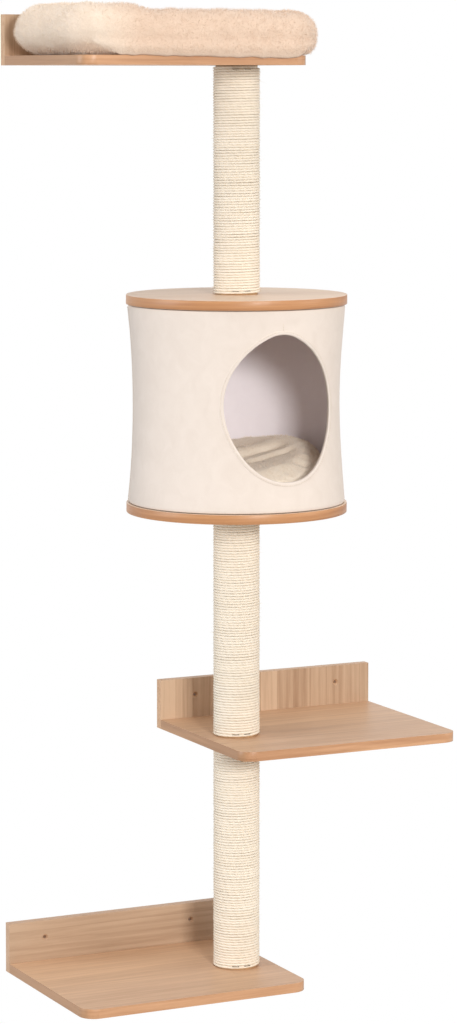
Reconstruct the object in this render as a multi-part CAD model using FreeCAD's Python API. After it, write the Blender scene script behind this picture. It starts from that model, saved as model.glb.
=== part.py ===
import FreeCAD, Part
import math
import os
from FreeCAD import Placement, Rotation, Vector

# Wall mounted cat tree: three shelves screwed to the wall and stacked on three sisal posts, with a round fabric
# condo between the middle and the upper post and a plush bed on the upper shelf.
#
# Millimetres. The wall is the plane y = 0 and the room is on its -Y side. x = 0 is the posts' axis, and z = 0 is
# the standing surface of the lower shelf.

# ---- driving dimensions ----------------------------------------------------------------------------------------

# Boards
SHELF_WIDTH = 385.0
SHELF_DEPTH = 305.0             # front to rear edge, without the back board behind it
SHELF_THICKNESS = 15.0
SHELF_CORNER_RADIUS = 25.0
BACK_BOARD_HEIGHT = 80.0
BACK_BOARD_THICKNESS = 15.0
POST_INSET = 58.0               # posts' axis to the near end of every shelf
POST_REACH = 177.0              # wall to the posts' axis

# Wall-screw holes of each back board
WALL_HOLE_RADIUS = 2.5
WALL_HOLE_SINK_RADIUS = 5.0
WALL_HOLE_SPACING = 260.0
WALL_HOLE_DROP = 28.0           # below the back board's top edge

# Screws between back board and shelf
SCREW_RADIUS = 2.2
SCREW_LENGTH = 50.0
SCREW_HEAD_RADIUS = 4.4
SCREW_HEAD_DEPTH = 2.2
SCREW_SPACING = 300.0
HOLE_CLEARANCE = 0.1            # radial, round screws and the posts' plugs
FASTENER_SIDES = 12             # flat sides that stand for the round of screws, bolts and rods

# Posts
POST_LENGTH = 360.0
TUBE_RADIUS = 33.0
TUBE_WALL = 4.0
ROPE_DIAMETER = 3.8
ROPE_PITCH = 4.25
ROPE_SEAT = 0.2                 # between the tube and the rope
ROPE_END_TURNS = 2              # turns drawn at each end of a post; a sleeve stands for the rest of the winding
ROPE_SIDES = 4
PLUG_THICKNESS = 18.0
PLUG_SIDES = 24

# Staples that hold the rope's ends
STAPLE_WIDTH = 10.0
STAPLE_WIRE = 1.2
STAPLE_THICKNESS = 0.4
STAPLE_ANGLES = (-118.0, -88.0)  # seen from above, counter-clockwise from +X

# M8 hardware of the posts
BOLT_RADIUS = 4.0
BOLT_LENGTH = 30.0
BOLT_HOLE_RADIUS = 4.3
BOLT_HEAD_FLATS = 13.0
BOLT_HEAD_HEIGHT = 5.3
WASHER_RADIUS = 10.0
WASHER_THICKNESS = 1.6
RECESS_RADIUS = 12.0            # leaves room for a socket round the bolt's head
RECESS_SPARE = 0.3              # how far the head lies below the board's face

# Condo
CONDO_RADIUS = 175.0
CONDO_CABIN_HEIGHT = 315.0      # between the two discs
DISC_THICKNESS = 15.0
COVER_INSET = 2.5               # cover inside the discs' rims
COVER_DRAW_IN = 9.0             # waist inside the cover's ends
COVER_WAIST_HEIGHT = 105.0      # of the straight band in the middle
FABRIC_SIDES = 48               # flat sides that stand for the round of cover, lining and cleats
COVER_THICKNESS = 2.5
LINING_THICKNESS = 2.0
LINING_GAP = 0.5                # between cover and lining at the waist
CLEAT_HEIGHT = 8.0
CLEAT_GAP = 0.3                 # between a cleat ring and the fabric on each side
ROD_RADIUS = 6.0
ROD_GAP = 0.8                   # between a rod and the lining's corners
ROD_ANGLES = (90.0, 210.0, 330.0)  # one at the back, one on each side of the entry

# Entry, an egg with its wide end up
ENTRY_HALF_WIDTH = 92.0
ENTRY_HEADROOM = 33.0           # from its top up to the top cleat
ENTRY_DEPTH = 115.0             # from its widest line down to its lowest point
ENTRY_RISE = 114.0              # from its widest line up to its top
ENTRY_LOWER_SIDE_RADIUS = 140.0
ENTRY_UPPER_SIDE_RADIUS = 120.0
BINDING_WIDTH = 5.0
BINDING_PROUD = 0.8

# Condo pad, a round cushion that rises to one side; heights are in its middle, tilts in degrees
PAD_RISE_TURN = 30.0            # from +X round towards the wall, where it stands highest
PAD_ROOM = 8.0                  # between the pad's belly and the rods
PAD_FOOT_TUCK = 10.0            # foot inside the belly
PAD_BELLY_HEIGHT = 30.0
PAD_BELLY_TILT = 6.0
PAD_SHOULDER_TUCK = 12.0        # shoulder inside the belly
PAD_SHOULDER_HEIGHT = 57.0
PAD_SHOULDER_TILT = 12.4
PAD_CROWN_TUCK = 66.0           # edge of the flat crown inside the belly
PAD_CROWN_HEIGHT = 56.0
PAD_CROWN_TILT = 8.0
PAD_SIDES = 36
SOFT_CLEARANCE = 0.3            # under and round the pieces that lift off

# Bed
BED_WIDTH = 405.0
BED_DEPTH = 310.0
BED_HEIGHT = 80.0
BED_OVERHANG_END = 22.0         # past the shelf's end beside the posts
BED_OVERHANG_FRONT = 7.0
BED_CORNER_RADIUS = 88.0
BOLSTER_WIDTH = 82.0
BOLSTER_FOOT_WIDTH = 46.0
BOLSTER_BELLY_HEIGHT = 36.0     # where it is widest
BOLSTER_FLANK_HEIGHT = 13.0     # half way up the drawn-in side below the belly
BOLSTER_FLANK_TUCK = 5.7        # how far the side lies inside the belly there
BED_CORNER_STEP = 30            # degrees between the sections of a corner
BOLSTER_TOP_STEPS = 3           # flat sides from its belly to its top
BED_PAD_EDGE_HEIGHT = 22.0
BED_PAD_CROWN = 16.0
BED_PAD_CORNER_RADIUS = 26.0
BED_PAD_DRAW_IN = 3.0           # the pad's top edge, inside the bolster's fullest line
BED_PAD_SLOPE = 34.0            # how far the crown reaches in from that line
BED_PAD_FOOT_GAP = 3.6          # between the feet of pad and bolster
BED_PAD_SIDE_HEIGHT = 9.0       # where the drawn-in side bends
BED_PAD_SIDE_TUCK = 3.6         # how far it reaches under the bolster's belly there

# ---- places worked out from them -------------------------------------------------------------------------------

LOWER_TOP = 0.0
MIDDLE_TOP = LOWER_TOP + POST_LENGTH + SHELF_THICKNESS
CONDO_FLOOR = MIDDLE_TOP + POST_LENGTH + DISC_THICKNESS
CONDO_CEILING = CONDO_FLOOR + CONDO_CABIN_HEIGHT
CONDO_TOP = CONDO_CEILING + DISC_THICKNESS
UPPER_TOP = CONDO_TOP + POST_LENGTH + SHELF_THICKNESS

POST_AXIS = Vector(0, -POST_REACH, 0)
UP = Vector(0, 0, 1)
DOWN = Vector(0, 0, -1)
OUT_OF_WALL = Vector(0, -1, 0)
INTO_WALL = Vector(0, 1, 0)

# Each shelf's standing surface and the side of the posts on which it reaches out
SHELVES = {"lower": (LOWER_TOP, -1), "middle": (MIDDLE_TOP, 1), "upper": (UPPER_TOP, -1)}
# Each post's lower end
POSTS = {"lower": LOWER_TOP, "middle": MIDDLE_TOP, "upper": CONDO_TOP}

# Above the base disc
ENTRY_BOTTOM = CONDO_CABIN_HEIGHT - CLEAT_HEIGHT - ENTRY_HEADROOM - ENTRY_RISE - ENTRY_DEPTH

ROPE_RADIUS = ROPE_DIAMETER / 2
ROPE_COIL_RADIUS = TUBE_RADIUS + ROPE_SEAT + ROPE_RADIUS
POST_OUTER_RADIUS = ROPE_COIL_RADIUS + ROPE_RADIUS
ROPE_END_HEIGHT = ROPE_END_TURNS * ROPE_PITCH + ROPE_DIAMETER + 2 * ROPE_SEAT
RECESS_DEPTH = BOLT_HEAD_HEIGHT + WASHER_THICKNESS + RECESS_SPARE
PLUG_RADIUS = TUBE_RADIUS - TUBE_WALL - HOLE_CLEARANCE
COVER_END_RADIUS = CONDO_RADIUS - COVER_INSET
COVER_WAIST_RADIUS = COVER_END_RADIUS - COVER_DRAW_IN
LINING_RADIUS = COVER_WAIST_RADIUS - COVER_THICKNESS - LINING_GAP
CABIN_RADIUS = LINING_RADIUS - LINING_THICKNESS
ROD_CIRCLE_RADIUS = CABIN_RADIUS - ROD_GAP - ROD_RADIUS
PAD_RADIUS = ROD_CIRCLE_RADIUS - ROD_RADIUS - PAD_ROOM


# ---- helpers ---------------------------------------------------------------------------------------------------

def box(x_range, y_range, z_range):
    size = [high - low for low, high in (x_range, y_range, z_range)]
    return Part.makeBox(*size, Vector(x_range[0], y_range[0], z_range[0]))


def rod(radius, length, foot, direction=UP):
    return Part.makeCylinder(radius, length, foot, direction)


def washer(outer_radius, bore_radius, thickness, foot, direction=UP):
    return rod(outer_radius, thickness, foot, direction).cut(rod(bore_radius, thickness, foot, direction))


def on_axis(z):
    return POST_AXIS + UP * z


def around_axis(radius, degrees, z):
    angle = math.radians(degrees)
    return on_axis(z) + Vector(radius * math.cos(angle), radius * math.sin(angle), 0)


def fillet_edges(shape, radius, keep):
    return shape.makeFillet(radius, [edge for edge in shape.Edges if keep(edge)])


def prism(edges, direction):
    return Part.Face(Part.Wire(edges)).extrude(direction)


def ring_across(radius, centre, direction, sides):
    across = Vector(1, 0, 0)
    upward = direction.cross(across)
    turns = [2 * math.pi * side / sides for side in range(sides)]
    return [centre + across * (radius * math.cos(turn)) + upward * (radius * math.sin(turn)) for turn in turns]


def small_rod(radius, length, foot, direction=UP, sides=FASTENER_SIDES):
    return flat_sided([ring_across(radius, foot + direction * reach, direction, sides) for reach in (0, length)])


def ring_of_sides(radius, z, sides, tilt=0.0, rise_turn=0.0):
    # The corners of a ring round the posts' axis, tilted so that it rises towards one side.
    lean = math.radians(tilt)
    side_on = math.radians(rise_turn)
    rising = Vector(math.cos(lean) * math.cos(side_on), math.cos(lean) * math.sin(side_on), math.sin(lean))
    level = Vector(-math.sin(side_on), math.cos(side_on), 0)
    turns = [2 * math.pi * side / sides for side in range(sides)]
    return [on_axis(z) + rising * (radius * math.cos(turn)) + level * (radius * math.sin(turn)) for turn in turns]


def flat_face(corners):
    return Part.Face(Part.makePolygon(corners + corners[:1]))


def flat_sides(a, b, c, d):
    # One flat face, or two where the four corners don't lie in a plane.
    if abs((b - a).cross(d - a).normalize().dot(c - a)) < 1e-6:
        return [flat_face([a, b, c, d])]
    return [flat_face([a, b, c]), flat_face([a, c, d])]


def flat_sided(rings, round_trip=False):
    # A solid through rings of as many corners each. A round trip ends where it starts, and has no end faces.
    faces = [] if round_trip else [flat_face(rings[0]), flat_face(rings[-1])]
    for ring, following in zip(rings, rings[1:] + rings[:1] * round_trip):
        for corners in zip(ring, ring[1:] + ring[:1], following[1:] + following[:1], following):
            faces += flat_sides(*corners)
    solid = Part.makeSolid(Part.makeShell(faces))
    return solid if solid.Volume > 0 else solid.reversed()


def polyline(points):
    return [Part.LineSegment(a, b).toShape() for a, b in zip(points, points[1:])]


def arc(start, through, end):
    return Part.Arc(start, through, end).toShape()


# ---- shelves ---------------------------------------------------------------------------------------------------

def shelf_span(side):
    near_end = -side * POST_INSET
    far_end = near_end + side * SHELF_WIDTH
    return min(near_end, far_end), max(near_end, far_end)


def shelf_middle(side):
    return sum(shelf_span(side)) / 2


def shelf_board(level):
    top, side = SHELVES[level]
    left, right = shelf_span(side)
    rear = -BACK_BOARD_THICKNESS
    front = rear - SHELF_DEPTH
    board = box((left, right), (front, rear), (top - SHELF_THICKNESS, top))
    board = fillet_edges(board, SHELF_CORNER_RADIUS, lambda edge: is_upright(edge) and edge.BoundBox.YMax < rear - 1)
    board = board.cut(rod(BOLT_HOLE_RADIUS, SHELF_THICKNESS, on_axis(top - SHELF_THICKNESS)))
    if level == "lower":
        board = board.cut(rod(RECESS_RADIUS, RECESS_DEPTH, on_axis(top - SHELF_THICKNESS)))
    if level == "upper":
        board = board.cut(rod(RECESS_RADIUS, RECESS_DEPTH, on_axis(top), DOWN))
    for screw in shelf_screws(level, HOLE_CLEARANCE):
        board = board.cut(screw)
    return board


def is_upright(edge):
    return edge.BoundBox.ZLength > 0.9 * SHELF_THICKNESS


def back_board(level):
    top, side = SHELVES[level]
    low = top - SHELF_THICKNESS
    board = box(shelf_span(side), (-BACK_BOARD_THICKNESS, 0), (low, low + BACK_BOARD_HEIGHT))
    for place in wall_hole_places(level):
        board = board.cut(rod(WALL_HOLE_RADIUS, BACK_BOARD_THICKNESS, place, OUT_OF_WALL))
        sink_depth = WALL_HOLE_SINK_RADIUS - WALL_HOLE_RADIUS
        sink_foot = place + OUT_OF_WALL * (BACK_BOARD_THICKNESS - sink_depth)
        board = board.cut(Part.makeCone(WALL_HOLE_RADIUS, WALL_HOLE_SINK_RADIUS, sink_depth, sink_foot, OUT_OF_WALL))
    for screw in shelf_screws(level, HOLE_CLEARANCE):
        board = board.cut(screw)
    return board


def wall_hole_places(level):
    top, side = SHELVES[level]
    z = top - SHELF_THICKNESS + BACK_BOARD_HEIGHT - WALL_HOLE_DROP
    return [Vector(shelf_middle(side) + end * WALL_HOLE_SPACING / 2, 0, z) for end in (-1, 1)]


def shelf_screws(level, grow=0.0):
    # From the wall side into the shelf's rear edge, heads flush with the back board.
    top, side = SHELVES[level]
    screws = []
    for end in (-1, 1):
        place = Vector(shelf_middle(side) + end * SCREW_SPACING / 2, 0, top - SHELF_THICKNESS / 2)
        outline = ((SCREW_HEAD_RADIUS, 0), (SCREW_RADIUS, SCREW_HEAD_DEPTH), (SCREW_RADIUS, SCREW_LENGTH))
        screws.append(flat_sided([ring_across(radius + grow, place + OUT_OF_WALL * depth, OUT_OF_WALL, FASTENER_SIDES)
                                  for radius, depth in outline]))
    return screws


# ---- posts -----------------------------------------------------------------------------------------------------

def post_tube(post):
    return washer(TUBE_RADIUS, TUBE_RADIUS - TUBE_WALL, POST_LENGTH, on_axis(POSTS[post]))


def post_sleeve(post):
    # The plain middle of the winding, between the turns that are drawn.
    low = POSTS[post] + ROPE_END_HEIGHT
    return washer(POST_OUTER_RADIUS, TUBE_RADIUS, POST_LENGTH - 2 * ROPE_END_HEIGHT, on_axis(low))


def post_ends():
    # The foot of each end of each post, and the way from there into the post.
    ends = []
    for low in POSTS.values():
        ends += [(on_axis(low), UP), (on_axis(low + POST_LENGTH), DOWN)]
    return ends


def post_plugs():
    # Each with its threaded insert, which holds a bolt or one end of the stud.
    return [small_rod(PLUG_RADIUS, PLUG_THICKNESS, foot, inward, PLUG_SIDES)
            .cut(small_rod(BOLT_RADIUS, PLUG_THICKNESS, foot, inward)) for foot, inward in post_ends()]


def bolt_seats():
    # The bottom of each recess, where a bolt's washer lies, and the way the bolt points.
    depth = SHELF_THICKNESS - RECESS_DEPTH
    disc_depth = DISC_THICKNESS - RECESS_DEPTH
    return [
        (on_axis(LOWER_TOP - depth), UP),
        (on_axis(CONDO_FLOOR - DISC_THICKNESS + disc_depth), DOWN),
        (on_axis(CONDO_TOP - disc_depth), UP),
        (on_axis(UPPER_TOP - SHELF_THICKNESS + depth), DOWN),
    ]


def post_bolts():
    # Each with its captive washer.
    bolts = []
    for seat, way in bolt_seats():
        under_head = seat - way * WASHER_THICKNESS
        head = small_rod(BOLT_HEAD_FLATS / math.sqrt(3), BOLT_HEAD_HEIGHT, under_head, -way, 6)
        captive_washer = small_rod(WASHER_RADIUS, WASHER_THICKNESS, seat, -way, PLUG_SIDES)
        shank = small_rod(BOLT_RADIUS, BOLT_LENGTH, under_head, way)
        bolts.append(head.fuse([captive_washer, shank]).removeSplitter())
    return bolts


def middle_shelf_stud():
    # A threaded rod that joins the lower and the middle post through the middle shelf.
    low = MIDDLE_TOP - SHELF_THICKNESS - PLUG_THICKNESS
    return small_rod(BOLT_RADIUS, SHELF_THICKNESS + 2 * PLUG_THICKNESS, on_axis(low))


# ---- rope turns at the posts' ends -----------------------------------------------------------------------------

def helix_point(turn, start_z, climb):
    # A place on the winding, turn counted in whole turns from the end at the back of the post.
    return around_axis(ROPE_COIL_RADIUS, 90 + 360 * turn, start_z + climb * ROPE_PITCH * turn)


def helix_tangent(turn, climb):
    angle = math.radians(90 + 360 * turn)
    run = 2 * math.pi * ROPE_COIL_RADIUS
    return Vector(-run * math.sin(angle), run * math.cos(angle), climb * ROPE_PITCH).normalize()


def arc_from_corner(start, corner, end):
    # The arc that leaves start and reaches end along the two lines through corner.
    middle = (start + end) / 2
    half_chord = (end - start).Length / 2
    angle = math.atan2((corner - middle).Length, half_chord)
    sagitta = half_chord * math.tan(angle / 2)
    return Part.Arc(start, middle + (corner - middle).normalize() * sagitta, end)


def biarc(start, start_tangent, end, end_tangent):
    span = end - start
    both = start_tangent + end_tangent
    a = 4 - both.dot(both)
    b = span.dot(both)
    reach = (math.sqrt(b * b + a * span.dot(span)) - b) / a
    corner_1 = start + start_tangent * reach
    corner_2 = end - end_tangent * reach
    joint = (corner_1 + corner_2) / 2
    return [arc_from_corner(start, corner_1, joint), arc_from_corner(joint, corner_2, end)]


def winding_path(start_z, climb):
    # Half turns, each a biarc, with a straight run of one rope diameter at both ends.
    curves = []
    for half in range(2 * ROPE_END_TURNS):
        low, high = half / 2, (half + 1) / 2
        curves += biarc(helix_point(low, start_z, climb), helix_tangent(low, climb),
                        helix_point(high, start_z, climb), helix_tangent(high, climb))
    first, last = helix_point(0, start_z, climb), helix_point(ROPE_END_TURNS, start_z, climb)
    lead_in = first - helix_tangent(0, climb) * ROPE_DIAMETER
    lead_out = last + helix_tangent(ROPE_END_TURNS, climb) * ROPE_DIAMETER
    return [Part.LineSegment(lead_in, first)] + curves + [Part.LineSegment(last, lead_out)]


def least_gap(curves, samples_per_curve=12):
    # Between places of the rope that are more than half a turn apart along it.
    places = []
    travelled = 0.0
    for curve in curves:
        shape = curve.toShape()
        for place in shape.discretize(samples_per_curve)[:-1]:
            places.append((travelled, place))
            travelled += shape.Length / (samples_per_curve - 1)
    half_turn = math.pi * ROPE_COIL_RADIUS
    apart = [(b - a).Length for i, (s, a) in enumerate(places) for t, b in places[i:] if t - s > half_turn]
    return min(apart) - ROPE_DIAMETER


def rope_section(centre, tangent):
    sideways = UP.cross(tangent).normalize()
    upwards = tangent.cross(sideways)
    turns = [math.radians(360 * side / ROPE_SIDES) for side in range(ROPE_SIDES + 1)]
    return Part.Wire(polyline([centre + (sideways * math.cos(turn) + upwards * math.sin(turn)) * ROPE_RADIUS
                               for turn in turns]))


def rope_winding(start_z, climb):
    curves = winding_path(start_z, climb)
    path = Part.Wire([curve.toShape() for curve in curves])
    shell = Part.BRepOffsetAPI.MakePipeShell(path)
    shell.add(rope_section(curves[0].StartPoint, helix_tangent(0, climb)))
    shell.build()
    shell.makeSolid()
    print("rope winding: least gap to itself %.2f mm" % least_gap(curves))
    return shell.shape()


def rope_end_windings():
    windings = []
    for low in POSTS.values():
        lift = ROPE_RADIUS + ROPE_SEAT
        windings.append(rope_winding(low + lift, 1))
        windings.append(rope_winding(low + POST_LENGTH - lift, -1))
    return windings


def rope_staples():
    # Each crown lies on the rope along the groove above the first turn, with its legs in that groove.
    staples = []
    lean = math.degrees(math.atan2(ROPE_PITCH, 2 * math.pi * ROPE_COIL_RADIUS))
    for low in POSTS.values():
        for foot, climb in ((low, 1), (low + POST_LENGTH, -1)):
            for degrees in STAPLE_ANGLES:
                turn = ((degrees - 90) % 360) / 360
                z = foot + climb * (ROPE_RADIUS + ROPE_SEAT + ROPE_PITCH * (turn + 0.5))
                staples.append(staple(degrees, z, climb * lean))
    return staples


def staple(degrees, z, lean):
    # Drawn with its crown along +Y at the post's +X side, then turned into place.
    crown_x = POST_OUTER_RADIUS
    half = STAPLE_WIDTH / 2
    crown = box((crown_x, crown_x + STAPLE_WIRE), (-half, half), (-STAPLE_THICKNESS / 2, STAPLE_THICKNESS / 2))
    shape = crown
    for low in (-half, half - STAPLE_WIRE):
        leg = box((TUBE_RADIUS + ROPE_SEAT, crown_x), (low, low + STAPLE_WIRE),
                  (-STAPLE_THICKNESS / 2, STAPLE_THICKNESS / 2))
        shape = shape.fuse(leg)
    shape = shape.removeSplitter()
    shape.Placement = Placement(Vector(0, 0, 0), Rotation(Vector(1, 0, 0), lean))
    shape = shape.copy()
    return turned(shape, degrees, z)


def turned(shape, degrees, z):
    # A shape drawn round the origin, turned about Z and moved onto the posts' axis at height z.
    placed = shape.copy()
    placed.Placement = Placement(on_axis(z), Rotation(UP, degrees)).multiply(shape.Placement)
    return placed


# ---- condo -----------------------------------------------------------------------------------------------------

def condo_disc(low, recess_foot, recess_way):
    disc = washer(CONDO_RADIUS, BOLT_HOLE_RADIUS, DISC_THICKNESS, on_axis(low))
    return disc.cut(rod(RECESS_RADIUS, RECESS_DEPTH, recess_foot, recess_way))


def condo_base_disc():
    return condo_disc(CONDO_FLOOR - DISC_THICKNESS, on_axis(CONDO_FLOOR), DOWN)


def condo_top_disc():
    return condo_disc(CONDO_CEILING, on_axis(CONDO_CEILING), UP)


def condo_rods():
    return [small_rod(ROD_RADIUS, CONDO_CABIN_HEIGHT, around_axis(ROD_CIRCLE_RADIUS, degrees, CONDO_FLOOR))
            for degrees in ROD_ANGLES]


def drawn_in_side(inset):
    # The cover's side from floor to ceiling as (radius, z): drawn in from each disc to a straight waist. A positive
    # inset lies inside the cover's outer face.
    end_radius = COVER_END_RADIUS - inset
    waist_radius = COVER_WAIST_RADIUS - inset
    middle_z = (CONDO_FLOOR + CONDO_CEILING) / 2
    half_waist = COVER_WAIST_HEIGHT / 2
    return [(end_radius, CONDO_FLOOR), (waist_radius, middle_z - half_waist), (waist_radius, middle_z + half_waist),
            (end_radius, CONDO_CEILING)]


def straight_side(radius, low=CONDO_FLOOR, high=CONDO_CEILING):
    return [(radius, low), (radius, high)]


def sleeve_between(outer_side, inner_side):
    outer, inner = (flat_sided([ring_of_sides(radius, z, FABRIC_SIDES) for radius, z in side])
                    for side in (outer_side, inner_side))
    return outer.cut(inner)


def entry_half(way, side_radius, reach, grow):
    # The upper half (way 1) or lower half (way -1) of the entry from right to left: a side arc, the end arc and the
    # other side arc, each running smoothly into the next. reach is how far it goes from the widest line.
    across = side_radius - ENTRY_HALF_WIDTH
    along = side_radius - reach
    end_centre = (across ** 2 - along ** 2) / (2 * along)
    turn = math.atan2(end_centre, across)
    widest_z = CONDO_FLOOR + ENTRY_BOTTOM + ENTRY_DEPTH

    def on_side(angle, side):
        radius = side_radius + grow
        return Vector(side * (radius * math.cos(angle) - across), -POST_REACH, widest_z + way * radius * math.sin(angle))

    top = Vector(0, -POST_REACH, widest_z + way * (reach + grow))
    return [arc(on_side(0, 1), on_side(turn / 2, 1), on_side(turn, 1)),
            arc(on_side(turn, 1), top, on_side(turn, -1)),
            arc(on_side(turn, -1), on_side(turn / 2, -1), on_side(0, -1))]


def entry_prism(grow):
    # The entry's outline, grown outwards by grow and run forward from the posts' axis to the front of the condo.
    upper = entry_half(1, ENTRY_UPPER_SIDE_RADIUS, ENTRY_RISE, grow)
    lower = entry_half(-1, ENTRY_LOWER_SIDE_RADIUS, ENTRY_DEPTH, grow)
    return prism(upper + lower[::-1], OUT_OF_WALL * (CONDO_RADIUS + BINDING_PROUD))


def condo_cover():
    return sleeve_between(drawn_in_side(0), drawn_in_side(COVER_THICKNESS)).cut(entry_prism(BINDING_WIDTH))


def condo_lining():
    return sleeve_between(straight_side(LINING_RADIUS), straight_side(CABIN_RADIUS)).cut(entry_prism(BINDING_WIDTH))


def entry_binding():
    # Turned over the raw edges of cover and lining, a little proud of both.
    ring = entry_prism(BINDING_WIDTH).cut(entry_prism(0))
    return sleeve_between(drawn_in_side(-BINDING_PROUD), straight_side(CABIN_RADIUS - BINDING_PROUD)).common(ring)


def condo_cleat(low):
    # A ring to which cover and lining are stapled. The cover leans in over its height.
    rise = (CONDO_CABIN_HEIGHT - COVER_WAIST_HEIGHT) / 2
    lean = COVER_DRAW_IN * CLEAT_HEIGHT / rise
    outer_radius = COVER_END_RADIUS - COVER_THICKNESS - lean - CLEAT_GAP
    return sleeve_between(straight_side(outer_radius, low, low + CLEAT_HEIGHT),
                          straight_side(LINING_RADIUS + CLEAT_GAP, low, low + CLEAT_HEIGHT))


def condo_pad():
    # Drawn in below its belly and rounded over the shoulder, with a flatter crown.
    foot = CONDO_FLOOR + SOFT_CLEARANCE
    levels = ((PAD_FOOT_TUCK, 0, 0), (0, PAD_BELLY_HEIGHT, PAD_BELLY_TILT),
              (PAD_SHOULDER_TUCK, PAD_SHOULDER_HEIGHT, PAD_SHOULDER_TILT),
              (PAD_CROWN_TUCK, PAD_CROWN_HEIGHT, PAD_CROWN_TILT))
    return flat_sided([ring_of_sides(PAD_RADIUS - tuck, foot + z, PAD_SIDES, tilt, PAD_RISE_TURN)
                       for tuck, z, tilt in levels])


# ---- bed -------------------------------------------------------------------------------------------------------

def bed_corner_centres(inset):
    # The corners of the bed's plan, as (x, y, first direction of the quarter turn in degrees).
    near_end = POST_INSET + BED_OVERHANG_END
    front = -BACK_BOARD_THICKNESS - SHELF_DEPTH - BED_OVERHANG_FRONT
    left, right = near_end - BED_WIDTH + inset, near_end - inset
    low, high = front + inset, front + BED_DEPTH - inset
    return [(right, high, 0), (left, high, 90), (left, low, 180), (right, low, 270)]


def corner_steps():
    return range(0, 90 + BED_CORNER_STEP, BED_CORNER_STEP)


def bolster_profile(centre, degrees, foot):
    # An upright section of the bolster, in flat sides: foot, drawn-in flanks, belly and round top.
    angle = math.radians(degrees)
    outward = Vector(math.cos(angle), math.sin(angle), 0)

    def place(across, z):
        return Vector(centre[0], centre[1], foot + z) + outward * (BED_CORNER_RADIUS - BOLSTER_WIDTH / 2 + across)

    half = BOLSTER_WIDTH / 2
    rise = BED_HEIGHT - BOLSTER_BELLY_HEIGHT
    side = [(BOLSTER_FOOT_WIDTH / 2, 0), (half - BOLSTER_FLANK_TUCK, BOLSTER_FLANK_HEIGHT)]
    for step in range(BOLSTER_TOP_STEPS):
        turn = math.radians(90 * step / BOLSTER_TOP_STEPS)
        side.append((half * math.cos(turn), BOLSTER_BELLY_HEIGHT + rise * math.sin(turn)))
    other_side = [(-across, z) for across, z in side[::-1]]
    section = side + [(0, BED_HEIGHT)] + other_side
    return [place(across, z) for across, z in section]


def bed_bolster():
    # Once round the bed, with sections a step apart in its corners and straight rolls between them.
    foot = UPPER_TOP + SOFT_CLEARANCE
    return flat_sided([bolster_profile(corner, corner[2] + step, foot)
                       for corner in bed_corner_centres(BED_CORNER_RADIUS) for step in corner_steps()], True)


def bed_pad():
    # The sunken pad inside the bolster, crowned, with drawn-in sides.
    foot = UPPER_TOP + SOFT_CLEARANCE
    levels = (((BOLSTER_WIDTH + BOLSTER_FOOT_WIDTH) / 2 + BED_PAD_FOOT_GAP, 0),
              (BOLSTER_WIDTH - BED_PAD_SIDE_TUCK, BED_PAD_SIDE_HEIGHT),
              (BOLSTER_WIDTH + BED_PAD_DRAW_IN, BED_PAD_EDGE_HEIGHT),
              (BOLSTER_WIDTH + BED_PAD_SLOPE, BED_PAD_EDGE_HEIGHT + BED_PAD_CROWN))
    return flat_sided([rounded_rectangle(inset, foot + z) for inset, z in levels])


def rounded_rectangle(inset, z):
    points = []
    for corner in bed_corner_centres(inset + BED_PAD_CORNER_RADIUS):
        for step in corner_steps():
            angle = math.radians(corner[2] + step)
            points.append(Vector(corner[0], corner[1], z)
                          + Vector(math.cos(angle), math.sin(angle), 0) * BED_PAD_CORNER_RADIUS)
    return points


# ---- the whole tree --------------------------------------------------------------------------------------------

def tree_nodes():
    nodes = {}
    for level in SHELVES:
        nodes[level + "_shelf_board"] = shelf_board(level)
        nodes[level + "_back_board"] = back_board(level)
    nodes["shelf_screws"] = Part.makeCompound([screw for level in SHELVES for screw in shelf_screws(level)])
    for post in POSTS:
        nodes[post + "_post_tube"] = post_tube(post)
        nodes[post + "_post_sisal"] = post_sleeve(post)
    nodes["post_plugs"] = Part.makeCompound(post_plugs())
    nodes["post_rope_ends"] = Part.makeCompound(rope_end_windings())
    nodes["rope_staples"] = Part.makeCompound(rope_staples())
    nodes["post_bolts"] = Part.makeCompound(post_bolts())
    nodes["middle_shelf_stud"] = middle_shelf_stud()
    nodes["condo_base_disc"] = condo_base_disc()
    nodes["condo_top_disc"] = condo_top_disc()
    nodes["condo_base_cleat"] = condo_cleat(CONDO_FLOOR)
    nodes["condo_top_cleat"] = condo_cleat(CONDO_CEILING - CLEAT_HEIGHT)
    nodes["condo_rods"] = Part.makeCompound(condo_rods())
    nodes["condo_cover"] = condo_cover()
    nodes["condo_lining"] = condo_lining()
    nodes["entry_binding"] = entry_binding()
    nodes["condo_pad"] = condo_pad()
    nodes["bed_bolster"] = bed_bolster()
    nodes["bed_pad"] = bed_pad()
    return nodes


def main():
    os.makedirs("parts", exist_ok=True)
    for name, shape in tree_nodes().items():
        shape.exportStep("parts/%s.step" % name)
        print("%-26s %2d solid(s), valid: %s" % (name, len(shape.Solids), shape.isValid()))


main()
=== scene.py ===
import math
import random

import bmesh
import bpy
import numpy as np
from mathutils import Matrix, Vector, noise


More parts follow.
